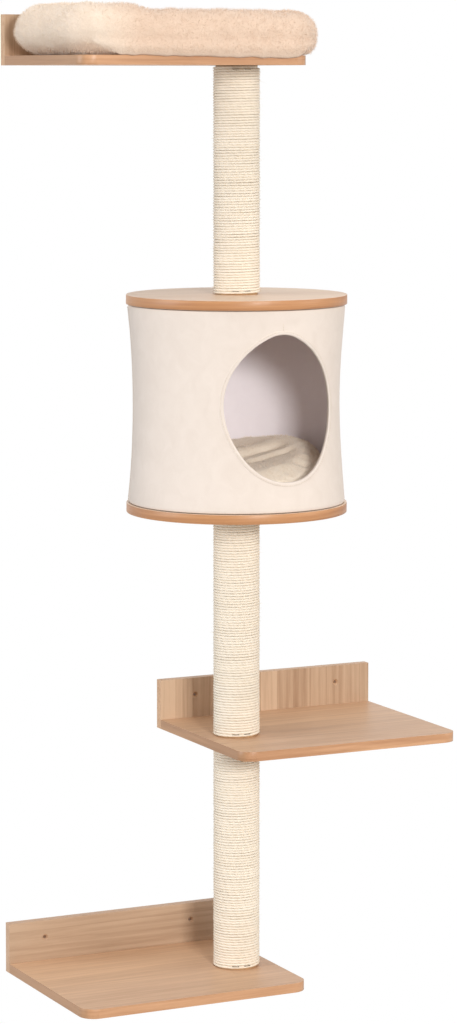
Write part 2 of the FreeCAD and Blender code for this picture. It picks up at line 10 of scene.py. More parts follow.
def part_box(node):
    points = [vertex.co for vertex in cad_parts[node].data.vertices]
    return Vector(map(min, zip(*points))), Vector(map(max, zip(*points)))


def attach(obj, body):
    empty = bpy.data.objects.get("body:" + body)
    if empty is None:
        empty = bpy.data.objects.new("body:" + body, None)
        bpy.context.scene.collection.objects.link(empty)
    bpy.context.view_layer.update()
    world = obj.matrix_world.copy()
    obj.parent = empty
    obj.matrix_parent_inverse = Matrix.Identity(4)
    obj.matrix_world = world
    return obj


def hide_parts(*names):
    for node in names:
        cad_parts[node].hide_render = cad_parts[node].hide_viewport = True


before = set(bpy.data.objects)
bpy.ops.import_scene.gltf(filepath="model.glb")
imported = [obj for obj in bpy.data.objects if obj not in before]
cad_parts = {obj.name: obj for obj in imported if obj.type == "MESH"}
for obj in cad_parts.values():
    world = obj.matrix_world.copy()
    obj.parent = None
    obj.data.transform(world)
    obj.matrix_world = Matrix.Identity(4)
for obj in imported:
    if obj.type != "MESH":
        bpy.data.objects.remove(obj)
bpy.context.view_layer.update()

# Wall mounted cat tree. Metres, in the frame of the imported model: the wall is y = 0, the room is on its -Y side,
# x = 0 is the posts' axis and z = 0 the standing surface of the lower shelf.

MM = 0.001

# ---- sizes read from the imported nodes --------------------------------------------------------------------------

base_low, base_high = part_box("condo_base_disc")
AXIS_Y = (base_low.y + base_high.y) / 2
DISC_RADIUS = (base_high.x - base_low.x) / 2
FLOOR = base_high.z
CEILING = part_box("condo_top_disc")[0].z
CABIN_HEIGHT = CEILING - FLOOR
BED_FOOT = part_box("bed_bolster")[0].z
BED_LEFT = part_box("bed_bolster")[0].x
PAD_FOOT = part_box("condo_pad")[0].z
POSTS = {post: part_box(post + "_post_tube") for post in ("lower", "middle", "upper")}

# ---- sizes of the fabric and the rope --------------------------------------------------------------------------

COVER_END = 172.3 * MM          # outer radius where the cover meets the discs
COVER_WAIST = 163.6 * MM        # outer radius half way up
LINING_RADIUS = 159.0 * MM
ENTRY_HALF_WIDTH = 92 * MM
ENTRY_BOTTOM = 45 * MM
ENTRY_DEPTH = 115 * MM          # from its widest line down to its lowest point
ENTRY_RISE = 114 * MM           # from its widest line up to its top
ENTRY_LOWER_SIDE = 140 * MM     # radius of its sides below the widest line
ENTRY_UPPER_SIDE = 120 * MM
ENTRY_SEWN_UP = 2.5 * MM        # the hem was sewn that much higher than it was cut
HEM_WIDTH = 6.5 * MM
HEM_PROUD = 1.3 * MM

ROPE_RADIUS = 2.1 * MM
ROPE_PITCH = 4.25 * MM
ROPE_COIL = 35.0 * MM
ROPE_STEPS = 48                 # mesh steps in one turn
ROPE_SIDES = 8

BED_LENGTH = 421 * MM
BED_DEPTH = 310 * MM
BED_HEIGHT = 80 * MM
BED_CORNER = 74 * MM
BOLSTER_WIDTH = 82 * MM


# ---- node trees ------------------------------------------------------------------------------------------------

def add_node(tree, kind, settings=None, **inputs):
    node = tree.nodes.new(kind)
    for key, value in (settings or {}).items():
        setattr(node, key, value)
    for name, value in inputs.items():
        feed(tree, node.inputs[name.replace("_", " ")], value)
    return node


def feed(tree, socket, value):
    if isinstance(value, bpy.types.NodeSocket):
        tree.links.new(value, socket)
    elif value is not None:
        socket.default_value = value


def calculate(tree, operation, *values):
    node = tree.nodes.new("ShaderNodeMath")
    node.operation = operation
    for socket, value in zip(node.inputs, values):
        feed(tree, socket, value)
    return node.outputs[0]


def stretched(tree, place, scale, shift=(0, 0, 0)):
    return add_node(tree, "ShaderNodeMapping", Vector=place, Scale=scale, Location=shift).outputs[0]


def noise_value(tree, place, scale, detail=3.0, roughness=0.55, distortion=0.0):
    return add_node(tree, "ShaderNodeTexNoise", Vector=place, Scale=scale, Detail=detail, Roughness=roughness,
                    Distortion=distortion).outputs["Fac"]


def ranged(tree, value, low, high, to_low=0.0, to_high=1.0):
    return add_node(tree, "ShaderNodeMapRange", Value=value, From_Min=low, From_Max=high, To_Min=to_low,
                    To_Max=to_high).outputs[0]


def blended(tree, amount, first, second, way="MIX"):
    node = tree.nodes.new("ShaderNodeMix")
    node.data_type = "RGBA"
    node.blend_type = way
    feed(tree, node.inputs[0], amount)
    feed(tree, node.inputs[6], first)
    feed(tree, node.inputs[7], second)
    return node.outputs[2]


def colour(red, green, blue):
    # A colour as a picture editor gives it, 0 to 255, turned into the renderer's linear values.
    def linear(value):
        value /= 255
        return value / 12.92 if value <= 0.04045 else ((value + 0.055) / 1.055) ** 2.4
    return (linear(red), linear(green), linear(blue), 1)


def shared_effect(name, inputs, outputs):
    tree = bpy.data.node_groups.new(name, "ShaderNodeTree")
    for way, sockets in (("INPUT", inputs), ("OUTPUT", outputs)):
        for label, kind in sockets:
            tree.interface.new_socket(label, in_out=way, socket_type="NodeSocket" + kind)
    return tree, tree.nodes.new("NodeGroupInput").outputs, tree.nodes.new("NodeGroupOutput").inputs


def use_effect(tree, effect, **inputs):
    node = tree.nodes.new("ShaderNodeGroup")
    node.node_tree = effect
    for name, value in inputs.items():
        feed(tree, node.inputs[name.replace("_", " ")], value)
    return node.outputs


def new_material(name, **shader_values):
    material = bpy.data.materials.new(name)
    material.use_nodes = True
    tree = material.node_tree
    shader = tree.nodes["Principled BSDF"]
    for key, value in shader_values.items():
        shader.inputs[key.replace("_", " ")].default_value = value
    return material, tree, shader


def bump(tree, shader, height, distance, strength=1.0):
    node = add_node(tree, "ShaderNodeBump", Strength=strength, Distance=distance, Height=height)
    tree.links.new(node.outputs[0], shader.inputs["Normal"])


# ---- effects that several finishes share -----------------------------------------------------------------------

def make_wood_grain():
    # Grain runs along X of Place, growth lines lie across Y.
    tree, given, out = shared_effect(
        "wood grain",
        [("Place", "Vector"), ("Light", "Color"), ("Dark", "Color"), ("Stave Width", "Float"),
         ("Stave Contrast", "Float"), ("Contrast", "Float")],
        [("Color", "Color"), ("Roughness", "Float"), ("Height", "Float")])
    place = given["Place"]
    parts = add_node(tree, "ShaderNodeSeparateXYZ", Vector=place).outputs
    stave = calculate(tree, "FLOOR", calculate(tree, "DIVIDE", parts["Y"], given["Stave Width"]))
    stave_tone = add_node(tree, "ShaderNodeTexWhiteNoise", {"noise_dimensions": "1D"}, W=stave).outputs["Value"]
    shifted = add_node(tree, "ShaderNodeCombineXYZ", X=calculate(tree, "ADD", parts["X"], stave_tone), Y=parts["Y"],
                       Z=parts["Z"]).outputs[0]
    flow = noise_value(tree, stretched(tree, shifted, (2.2, 16, 16)), 1.0, 2.0, 0.5, 0.6)
    streak = noise_value(tree, stretched(tree, shifted, (3.5, 120, 120)), 1.0, 6.0, 0.68, 0.25)
    fibre = noise_value(tree, stretched(tree, shifted, (26, 900, 900)), 1.0, 2.0, 0.6)
    figure = calculate(tree, "ADD", calculate(tree, "MULTIPLY", flow, 0.35), calculate(tree, "MULTIPLY", streak, 0.65))
    figure = ranged(tree, figure, 0.36, 0.64)
    tone = calculate(tree, "MULTIPLY", calculate(tree, "SUBTRACT", stave_tone, 0.5), given["Stave Contrast"])
    amount = calculate(tree, "ADD", calculate(tree, "MULTIPLY", figure, given["Contrast"]), tone)
    amount = calculate(tree, "ADD", amount, calculate(tree, "MULTIPLY", calculate(tree, "SUBTRACT", fibre, 0.5), 0.22))
    edge = calculate(tree, "ABSOLUTE", calculate(tree, "SUBTRACT", calculate(
        tree, "FRACT", calculate(tree, "DIVIDE", parts["Y"], given["Stave Width"])), 0.5))
    joint = calculate(tree, "MULTIPLY", ranged(tree, edge, 0.482, 0.497), given["Stave Contrast"])
    amount = add_node(tree, "ShaderNodeClamp", Value=calculate(tree, "ADD", amount, joint)).outputs[0]
    tree.links.new(blended(tree, amount, given["Light"], given["Dark"]), out["Color"])
    tree.links.new(ranged(tree, fibre, 0.3, 0.7, 0.36, 0.5), out["Roughness"])
    tree.links.new(calculate(tree, "SUBTRACT", fibre, calculate(tree, "MULTIPLY", joint, 0.6)), out["Height"])
    return tree


def make_plush_pile():
    # Short soft pile: clumps that lean together, and the fine hair between them. The colour goes towards Root where
    # the pile sits low between clumps, which is painted shade, and varies with a broad random tone.
    tree, given, out = shared_effect(
        "plush pile",
        [("Place", "Vector"), ("Tip", "Color"), ("Root", "Color"), ("Clump", "Float"), ("Contrast", "Float")],
        [("Color", "Color"), ("Height", "Float")])
    each = calculate(tree, "DIVIDE", 1.0, given["Clump"])
    broad = noise_value(tree, given["Place"], calculate(tree, "MULTIPLY", each, 0.22), 2.0, 0.5, 0.4)
    clump = noise_value(tree, given["Place"], each, 4.0, 0.62, 1.2)
    hair = noise_value(tree, given["Place"], calculate(tree, "MULTIPLY", each, 7.0), 2.0, 0.7)
    height = calculate(tree, "ADD", calculate(tree, "MULTIPLY", clump, 0.7), calculate(tree, "MULTIPLY", hair, 0.3))
    shade = calculate(tree, "ADD", calculate(tree, "MULTIPLY", height, 0.75), calculate(tree, "MULTIPLY", broad, 0.25))
    shade = ranged(tree, shade, 0.36, 0.62)
    amount = calculate(tree, "SUBTRACT", 1.0, calculate(
        tree, "MULTIPLY", calculate(tree, "SUBTRACT", 1.0, shade), given["Contrast"]))
    tree.links.new(blended(tree, amount, given["Root"], given["Tip"]), out["Color"])
    tree.links.new(height, out["Height"])
    return tree


def make_napped_cloth():
    # Close woven cloth with a brushed face. Threads is the thread count per metre, the same each way.
    tree, given, out = shared_effect(
        "napped cloth",
        [("Place", "Vector"), ("Light", "Color"), ("Dark", "Color"), ("Threads", "Float"), ("Contrast", "Float")],
        [("Color", "Color"), ("Height", "Float")])
    place = given["Place"]
    parts = add_node(tree, "ShaderNodeSeparateXYZ", Vector=place).outputs
    turn = calculate(tree, "MULTIPLY", given["Threads"], math.pi)
    warp = calculate(tree, "ABSOLUTE", calculate(tree, "SINE", calculate(tree, "MULTIPLY", parts["X"], turn)))
    weft = calculate(tree, "ABSOLUTE", calculate(tree, "SINE", calculate(tree, "MULTIPLY", parts["Y"], turn)))
    nap = noise_value(tree, place, 900.0, 3.0, 0.7)
    brushed = noise_value(tree, place, 34.0, 4.0, 0.55, 0.8)
    weave = calculate(tree, "MULTIPLY", calculate(tree, "ADD", warp, weft), 0.5)
    height = calculate(tree, "ADD", calculate(tree, "MULTIPLY", weave, 0.45), calculate(tree, "MULTIPLY", nap, 0.55))
    mixed = calculate(tree, "ADD", calculate(tree, "MULTIPLY", height, 0.5), calculate(tree, "MULTIPLY", brushed, 0.5))
    # painted shade: the colour darkens where the weave and nap sit low, between the threads; the brushed mottling is
    # the cloth's own tone
    amount = calculate(tree, "MULTIPLY", ranged(tree, mixed, 0.65, 0.35), given["Contrast"])
    tree.links.new(blended(tree, amount, given["Light"], given["Dark"]), out["Color"])
    tree.links.new(height, out["Height"])
    return tree


def make_rope_lay():
    # Three strands laid to the right. X of Place runs along the rope in rope diameters, Y once round it.
    tree, given, out = shared_effect(
        "rope lay",
        [("Place", "Vector"), ("Light", "Color"), ("Dark", "Color"), ("Strands", "Float"), ("Contrast", "Float")],
        [("Color", "Color"), ("Height", "Float")])
    parts = add_node(tree, "ShaderNodeSeparateXYZ", Vector=given["Place"]).outputs
    turn = calculate(tree, "ADD", calculate(tree, "MULTIPLY", parts["Y"], given["Strands"]), parts["X"])
    strand = calculate(tree, "ABSOLUTE", calculate(tree, "SINE", calculate(tree, "MULTIPLY", turn, math.pi)))
    groove = ranged(tree, strand, 0.0, 0.45)
    straw = noise_value(tree, add_node(tree, "ShaderNodeCombineXYZ", X=calculate(tree, "MULTIPLY", parts["X"], 0.6),
                                       Y=calculate(tree, "MULTIPLY", turn, 9.0), Z=0.0).outputs[0], 1.6, 3.0, 0.65)
    dye = noise_value(tree, stretched(tree, given["Place"], (0.05, 0.4, 1)), 1.0, 3.0, 0.6)
    # painted shade: the colour is darker in the grooves between the strands and along the low fibre streaks; the dye
    # marks are the rope's own tone
    amount = calculate(tree, "ADD", calculate(tree, "MULTIPLY", calculate(tree, "SUBTRACT", 1.0, groove), 0.55),
                       calculate(tree, "MULTIPLY", ranged(tree, straw, 0.62, 0.3), 0.4))
    amount = calculate(tree, "ADD", amount, calculate(tree, "MULTIPLY", ranged(tree, dye, 0.66, 0.4), 0.3))
    amount = add_node(tree, "ShaderNodeClamp", Value=calculate(tree, "MULTIPLY", amount, given["Contrast"])).outputs[0]
    tree.links.new(blended(tree, amount, given["Light"], given["Dark"]), out["Color"])
    tree.links.new(calculate(tree, "ADD", strand, calculate(tree, "MULTIPLY", straw, 0.35)), out["Height"])
    return tree


WOOD_GRAIN = make_wood_grain()
PLUSH_PILE = make_plush_pile()
NAPPED_CLOTH = make_napped_cloth()
ROPE_LAY = make_rope_lay()


# ---- finishes --------------------------------------------------------------------------------------------------

def object_place(tree, order="XYZ"):
    # The place on the piece with its axes in another order, so that the grain can run along any of them.
    place = add_node(tree, "ShaderNodeTexCoord").outputs["Object"]
    parts = add_node(tree, "ShaderNodeSeparateXYZ", Vector=place).outputs
    return add_node(tree, "ShaderNodeCombineXYZ", X=parts[order[0]], Y=parts[order[1]], Z=parts[order[2]]).outputs[0]


def face_mask(tree, axis):
    # 1 on the board's two faces and 0 on its edges. The axis is the one that goes through the board.
    normal = add_node(tree, "ShaderNodeTexCoord").outputs["Normal"]
    along = calculate(tree, "ABSOLUTE", add_node(tree, "ShaderNodeSeparateXYZ", Vector=normal).outputs[axis])
    return ranged(tree, along, 0.6, 0.8)


def board_finish(name, grain, through, light, dark, stave_width, stave_contrast, contrast=0.75, band=None,
                 band_place=None, end_band=None):
    # Foil faced board with an edge band, which may have another tone on the board's two ends.
    material, tree, shader = new_material(name, Specular_IOR_Level=0.38, Coat_Weight=0.08, Coat_Roughness=0.3)
    face = use_effect(tree, WOOD_GRAIN, Place=object_place(tree, grain), Light=light, Dark=dark,
                      Stave_Width=stave_width, Stave_Contrast=stave_contrast, Contrast=contrast)
    band_light, band_dark = band
    if end_band:
        at_end = face_mask(tree, "X")
        band_light = blended(tree, at_end, band_light, end_band[0])
        band_dark = blended(tree, at_end, band_dark, end_band[1])
    edge_place = band_place(tree) if band_place else object_place(tree, "XZY")
    edge = use_effect(tree, WOOD_GRAIN, Place=edge_place, Light=band_light, Dark=band_dark,
                      Stave_Width=0.5, Stave_Contrast=0.0, Contrast=0.8)
    mask = face_mask(tree, through)
    tree.links.new(blended(tree, mask, edge["Color"], face["Color"]), shader.inputs["Base Color"])
    tree.links.new(face["Roughness"], shader.inputs["Roughness"])
    bump(tree, shader, face["Height"], 0.00006, 0.8)
    return material


def rim_place(tree):
    # Round the rim of a disc: X along the rim, Y up it.
    place = add_node(tree, "ShaderNodeTexCoord").outputs["Object"]
    parts = add_node(tree, "ShaderNodeSeparateXYZ", Vector=place).outputs
    angle = calculate(tree, "ARCTAN2", parts["X"], calculate(tree, "SUBTRACT", AXIS_Y, parts["Y"]))
    return add_node(tree, "ShaderNodeCombineXYZ", X=calculate(tree, "MULTIPLY", angle, DISC_RADIUS), Y=parts["Z"],
                    Z=0.0).outputs[0]


# Painted light: the tint that makes the bed's left end paler.
PAINTED_LIGHT_LIFT = (1.13, 1.24, 1.31, 1)
BAND = (colour(213, 166, 127), colour(160, 110, 75))
END_BAND = (colour(190, 147, 110), colour(154, 112, 79))
RIM = (colour(204, 150, 104), colour(152, 99, 62))


def side_band_place(tree):
    # Along the depth on a board's ends and along its width on its front edge.
    place = add_node(tree, "ShaderNodeTexCoord").outputs["Object"]
    parts = add_node(tree, "ShaderNodeSeparateXYZ", Vector=place).outputs
    return add_node(tree, "ShaderNodeCombineXYZ", X=calculate(tree, "ADD", parts["X"], parts["Y"]), Y=parts["Z"],
                    Z=0.0).outputs[0]


def shelf_finish():
    return board_finish("shelf board", "XYZ", "Z", colour(222, 184, 150), colour(178, 138, 105), 0.045, 0.28, 0.7,
                        BAND, side_band_place, END_BAND)


def level_back_finish():
    return board_finish("back board, level grain", "XZY", "Y", colour(195, 167, 141), colour(150, 118, 92), 0.05,
                        0.25, 0.7, (colour(206, 170, 138), colour(174, 134, 102)))


def upright_back_finish():
    return board_finish("back board, upright grain", "ZXY", "Y", colour(204, 175, 147), colour(155, 121, 93), 0.031,
                        0.6, 0.75, (colour(214, 176, 140), colour(182, 140, 104)))


def disc_finish():
    return board_finish("condo disc", "XYZ", "Z", colour(246, 221, 197), colour(212, 179, 150), 0.05, 0.25, 0.65,
                        RIM, rim_place)


def plain_wood_finish():
    material, tree, shader = new_material("plain beech", Roughness=0.55)
    grain = use_effect(tree, WOOD_GRAIN, Place=object_place(tree, "ZXY"), Light=colour(224, 198, 164),
                       Dark=colour(196, 162, 122), Stave_Width=0.5, Stave_Contrast=0.0, Contrast=0.7)
    tree.links.new(grain["Color"], shader.inputs["Base Color"])
    bump(tree, shader, grain["Height"], 0.0001)
    return material


def cardboard_finish():
    material, tree, shader = new_material("cardboard", Roughness=0.85)
    place = object_place(tree)
    speck = noise_value(tree, stretched(tree, place, (60, 60, 160)), 1.0, 4.0, 0.6)
    tree.links.new(blended(tree, ranged(tree, speck, 0.35, 0.65), colour(196, 160, 118), colour(166, 128, 88)),
                   shader.inputs["Base Color"])
    bump(tree, shader, speck, 0.0001)
    return material


def steel_finish(name="zinc plated steel", light=colour(205, 206, 210), dark=colour(160, 162, 168)):
    material, tree, shader = new_material(name, Metallic=1.0)
    place = object_place(tree)
    cloud = noise_value(tree, place, 160.0, 4.0, 0.6)
    tree.links.new(blended(tree, cloud, light, dark), shader.inputs["Base Color"])
    tree.links.new(ranged(tree, cloud, 0.3, 0.7, 0.26, 0.46), shader.inputs["Roughness"])
    return material


def sisal_finish():
    material, tree, shader = new_material("sisal rope", Specular_IOR_Level=0.25, Sheen_Weight=0.12,
                                          Sheen_Roughness=0.5)
    place = add_node(tree, "ShaderNodeUVMap", {"uv_map": "lay"}).outputs[0]
    lay = use_effect(tree, ROPE_LAY, Place=place, Light=colour(251, 243, 230), Dark=colour(220, 205, 178),
                     Strands=3.0, Contrast=0.6)
    tree.links.new(lay["Color"], shader.inputs["Base Color"])
    shader.inputs["Roughness"].default_value = 0.8
    bump(tree, shader, lay["Height"], 0.0004, 0.8)
    return material


def painted_light_end(tree, tone):
    # Painted light: the bed's left end is tinted paler, as if more light fell on it there.
    place = add_node(tree, "ShaderNodeTexCoord").outputs["Object"]
    across = add_node(tree, "ShaderNodeSeparateXYZ", Vector=place).outputs["X"]
    amount = ranged(tree, across, BED_LEFT + 30 * MM, BED_LEFT + 90 * MM, 1.0, 0.0)
    return blended(tree, amount, tone, PAINTED_LIGHT_LIFT, "MULTIPLY")


def fibre_finish(name, light, dark, painted_light_on_end=False):
    material, tree, shader = new_material(name, Roughness=0.8, Specular_IOR_Level=0.2)
    tone = noise_value(tree, object_place(tree), 700.0, 1.0)
    tone = blended(tree, ranged(tree, tone, 0.4, 0.6), light, dark)
    tree.links.new(painted_light_end(tree, tone) if painted_light_on_end else tone, shader.inputs["Base Color"])
    return material


def cover_finish(name, light, dark, threads, contrast):
    material, tree, shader = new_material(name, Roughness=0.9, Specular_IOR_Level=0.2, Sheen_Weight=0.25,
                                          Sheen_Roughness=0.4)
    place = add_node(tree, "ShaderNodeTexCoord").outputs["Object"]
    parts = add_node(tree, "ShaderNodeSeparateXYZ", Vector=place).outputs
    angle = calculate(tree, "ARCTAN2", parts["X"], calculate(tree, "SUBTRACT", AXIS_Y, parts["Y"]))
    unrolled = add_node(tree, "ShaderNodeCombineXYZ", X=calculate(tree, "MULTIPLY", angle, COVER_WAIST),
                        Y=parts["Z"], Z=parts["Y"]).outputs[0]
    cloth = use_effect(tree, NAPPED_CLOTH, Place=unrolled, Light=light, Dark=dark, Threads=threads, Contrast=contrast)
    # the cloth's edges turn in at the discs; painted shade darkens it within about 2 mm of each disc, where the gap
    # under the disc lies in shadow
    middle = (FLOOR + CEILING) / 2
    far = calculate(tree, "ABSOLUTE", calculate(tree, "SUBTRACT", parts["Z"], middle))
    painted_gap_shade = ranged(tree, far, CABIN_HEIGHT / 2 - 2.2 * MM, CABIN_HEIGHT / 2 - 1.0 * MM, 0.0, 0.9)
    tree.links.new(blended(tree, painted_gap_shade, cloth["Color"], colour(104, 80, 62)), shader.inputs["Base Color"])
    bump(tree, shader, cloth["Height"], 0.0003, 0.6)
    return material


def plush_finish(name, tip, root_shade, clump, contrast, painted_light_on_end=False):
    material, tree, shader = new_material(name, Roughness=0.95, Specular_IOR_Level=0.15, Sheen_Weight=0.35,
                                          Sheen_Roughness=0.5)
    pile = use_effect(tree, PLUSH_PILE, Place=object_place(tree), Tip=tip, Root=root_shade, Clump=clump, Contrast=contrast)
    tone = painted_light_end(tree, pile["Color"]) if painted_light_on_end else pile["Color"]
    tree.links.new(tone, shader.inputs["Base Color"])
    bump(tree, shader, pile["Height"], 0.0022, 0.7)
    return material


SISAL = sisal_finish()
SISAL_FIBRE = fibre_finish("sisal fibre", colour(246, 234, 206), colour(206, 186, 140))
COVER_CLOTH = cover_finish("condo cover cloth", colour(233, 222, 213), colour(218, 205, 194), 900.0, 0.5)
LINING_CLOTH = cover_finish("condo lining cloth", colour(254, 248, 252), colour(243, 235, 240), 1300.0, 0.5)
THREAD = fibre_finish("sewing thread", colour(232, 220, 204), colour(212, 198, 180))
BED_PLUSH = plush_finish("bed plush", colour(229, 205, 185), colour(208, 182, 160), 0.006, 0.5, painted_light_on_end=True)
BED_HAIR = fibre_finish("bed plush hair", colour(232, 209, 190), colour(216, 192, 170), painted_light_on_end=True)
PAD_PLUSH = plush_finish("condo pad plush", colour(254, 243, 227), colour(232, 213, 190), 0.005, 0.6)
PAD_HAIR = fibre_finish("condo pad hair", colour(253, 240, 223), colour(232, 213, 190))


# ---- meshes ----------------------------------------------------------------------------------------------------

def mesh_object(name, points, faces, material, smooth=True):
    mesh = bpy.data.meshes.new(name)
    mesh.from_pydata([tuple(point) for point in points], [], faces)
    mesh.validate()
    return finished_object(name, mesh, material, smooth)


def finished_object(name, mesh, material, smooth=True):
    piece = bpy.data.objects.new(name, mesh)
    bpy.context.scene.collection.objects.link(piece)
    mesh.materials.append(material)
    mesh.polygons.foreach_set("use_smooth", [smooth] * len(mesh.polygons))
    mesh.update()
    return piece


def grid_faces(rows, columns, closed=False, first=0):
    faces = []
    for row in range(rows - 1):
        for column in range(columns if closed else columns - 1):
            following = (column + 1) % columns
            a, b = first + row * columns + column, first + row * columns + following
            faces.append((a, b, b + columns, a + columns))
    return faces


def welded(piece, distance=1e-6):
    shape = bmesh.new()
    shape.from_mesh(piece.data)
    bmesh.ops.remove_doubles(shape, verts=shape.verts, dist=distance)
    bmesh.ops.recalc_face_normals(shape, faces=shape.faces)
    shape.to_mesh(piece.data)
    shape.free()
    return piece


def blades(name, roots, directions, lengths, widths, material, curl=0.35, seed=1):
    # Thin curved hairs, each a tapering strip of one quad and one triangle.
    rng = np.random.default_rng(seed)
    roots, directions = np.asarray(roots, float), np.asarray(directions, float)
    count = len(roots)
    directions /= np.linalg.norm(directions, axis=1, keepdims=True)
    lengths = np.broadcast_to(lengths, count)[:, None]
    widths = np.broadcast_to(widths, count)[:, None]
    random_way = rng.normal(size=(count, 3))
    side = np.cross(directions, random_way)
    side /= np.linalg.norm(side, axis=1, keepdims=True)
    bend = np.cross(side, directions)
    middle = roots + directions * lengths * 0.55 + bend * lengths * curl * 0.3
    tip = roots + directions * lengths * 0.95 + bend * lengths * curl
    points = np.stack([roots - side * widths / 2, roots + side * widths / 2, middle + side * widths * 0.4,
                       middle - side * widths * 0.4, tip], axis=1).reshape(-1, 3)
    mesh = bpy.data.meshes.new(name)
    mesh.vertices.add(count * 5)
    mesh.vertices.foreach_set("co", points.astype(np.float32).ravel())
    corners = (np.arange(count)[:, None] * 5 + np.array([0, 1, 2, 3, 3, 2, 4])).ravel()
    mesh.loops.add(count * 7)
    mesh.loops.foreach_set("vertex_index", corners.astype(np.int32))
    mesh.polygons.add(count * 2)
    starts = (np.arange(count)[:, None] * 7 + np.array([0, 4])).ravel()
    mesh.polygons.foreach_set("loop_start", starts.astype(np.int32))
    mesh.update(calc_edges=True)
    return finished_object(name, mesh, material)


def scattered(piece, count, seed, keep=None):
    # Seeded places and normals spread evenly over the piece's faces.
    shape = bmesh.new()
    shape.from_mesh(piece.data)
    bmesh.ops.triangulate(shape, faces=shape.faces)
    corners = np.array([[vert.co[:] for vert in face.verts] for face in shape.faces])
    normals = np.array([face.normal[:] for face in shape.faces])
    shape.free()
    rng = np.random.default_rng(seed)
    areas = np.linalg.norm(np.cross(corners[:, 1] - corners[:, 0], corners[:, 2] - corners[:, 0]), axis=1)
    chosen = rng.choice(len(areas), size=count, p=areas / areas.sum())
    u, v = rng.random((2, count))
    flip = u + v > 1
    u[flip], v[flip] = 1 - u[flip], 1 - v[flip]
    picked = corners[chosen]
    places = picked[:, 0] + u[:, None] * (picked[:, 1] - picked[:, 0]) + v[:, None] * (picked[:, 2] - picked[:, 0])
    ways = normals[chosen]
    if keep is not None:
        kept = keep(places, ways)
        places, ways = places[kept], ways[kept]
    return places, ways


def pile(name, piece, count, length, width, material, seed, lean=0.55, keep=None):
    # Hair of the pile that stands proud of a plush piece.
    places, ways = scattered(piece, count, seed, keep)
    rng = np.random.default_rng(seed + 1)
    sway = np.array([noise.noise_vector(Vector(place) * 45)[:] for place in places])
    ways = ways + sway * lean + rng.normal(size=ways.shape) * 0.28
    hairs = blades(name, places, ways, length * rng.uniform(0.6, 1.15, len(places)),
                   width * rng.uniform(0.7, 1.2, len(places)), material, 0.4, seed + 2)
    hairs.parent = piece
    return hairs


def plumped(piece, voxel, pressure, cap, held=None, stiffness=12.0):
    # Blows the piece up as stuffed cloth, holds what held() names, and keeps every point within cap of its start.
    scene = bpy.context.scene
    remesh = piece.modifiers.new("remesh", "REMESH")
    remesh.mode, remesh.voxel_size, remesh.use_smooth_shade = "VOXEL", voxel, True
    replace_mesh(piece)
    start = [vert.co.copy() for vert in piece.data.vertices]
    cloth = piece.modifiers.new("cloth", "CLOTH")
    cloth.settings.use_pressure = True
    cloth.settings.uniform_pressure_force = pressure
    cloth.settings.tension_stiffness = stiffness
    cloth.settings.compression_stiffness = stiffness
    cloth.settings.bending_stiffness = 0.4
    cloth.settings.quality = 4
    cloth.settings.effector_weights.gravity = 0.0
    if held:
        group = piece.vertex_groups.new(name="held")
        for index, place in enumerate(start):
            weight = held(place)
            if weight > 0.01:
                group.add([index], weight, "REPLACE")
        cloth.settings.vertex_group_mass = "held"
    for step in range(1, 21):
        scene.frame_set(step)
    shape = piece.evaluated_get(bpy.context.evaluated_depsgraph_get())
    ends = [vert.co.copy() for vert in shape.data.vertices]
    piece.modifiers.clear()
    piece.vertex_groups.clear()
    for vert, first, last in zip(piece.data.vertices, start, ends):
        move = last - first
        vert.co = first + move * min(1.0, cap / max(move.length, 1e-9))
    scene.frame_set(1)
    smoother = piece.modifiers.new("finer", "SUBSURF")
    smoother.levels = smoother.render_levels = 1
    replace_mesh(piece)
    return piece


def replace_mesh(piece):
    # Bakes the modifiers into the mesh.
    shape = piece.evaluated_get(bpy.context.evaluated_depsgraph_get())
    mesh = bpy.data.meshes.new_from_object(shape)
    piece.modifiers.clear()
    old, piece.data = piece.data, mesh
    bpy.data.meshes.remove(old)
    mesh.polygons.foreach_set("use_smooth", [True] * len(mesh.polygons))


def moved_points(piece, move):
    for vert in piece.data.vertices:
        vert.co = move(vert.co)
    piece.data.update()


# ---- camera, light and floor -----------------------------------------------------------------------------------

def place_camera():
    data = bpy.data.cameras.new("camera")
    data.sensor_width = 36
    data.lens = 118.43
    data.shift_y = -0.1484
    data.clip_end = 60
    camera = bpy.data.objects.new("camera", data)
    camera.location = (-2.3473, -4.9471, 1.4195)
    camera.rotation_euler = (math.pi / 2 - 0.0834, 0, -0.4549)
    bpy.context.scene.collection.objects.link(camera)
    bpy.context.scene.camera = camera


def soft_box(name, azimuth, elevation, distance, size, energy, tint):
    # A square lamp that looks at the tree's middle. Azimuth is in degrees round from the room's side to the left.
    data = bpy.data.lights.new(name, "AREA")
    data.shape = "SQUARE"
    data.size, data.energy, data.color = size, energy, tint
    light = bpy.data.objects.new(name, data)
    turn, rise = math.radians(azimuth), math.radians(elevation)
    way = Vector((-math.sin(turn) * math.cos(rise), -math.cos(turn) * math.cos(rise), math.sin(rise)))
    light.location = Vector((0, AXIS_Y, 0.75)) + way * distance
    light.rotation_euler = (-way).to_track_quat("-Z", "Y").to_euler()
    bpy.context.scene.collection.objects.link(light)


def place_lamps():
    soft_box("key light", 10.0, 13, 7.0, 1.2, 302, (1.0, 0.985, 0.97))
    soft_box("left fill", 105, 10, 5.0, 2.5, 112, (0.93, 0.99, 1.06))
    soft_box("right fill", -48, 12, 5.0, 2.0, 50, (1.0, 0.99, 0.98))
    soft_box("top fill", 25, 78, 3.6, 2.5, 44, (1.0, 1.0, 1.0))


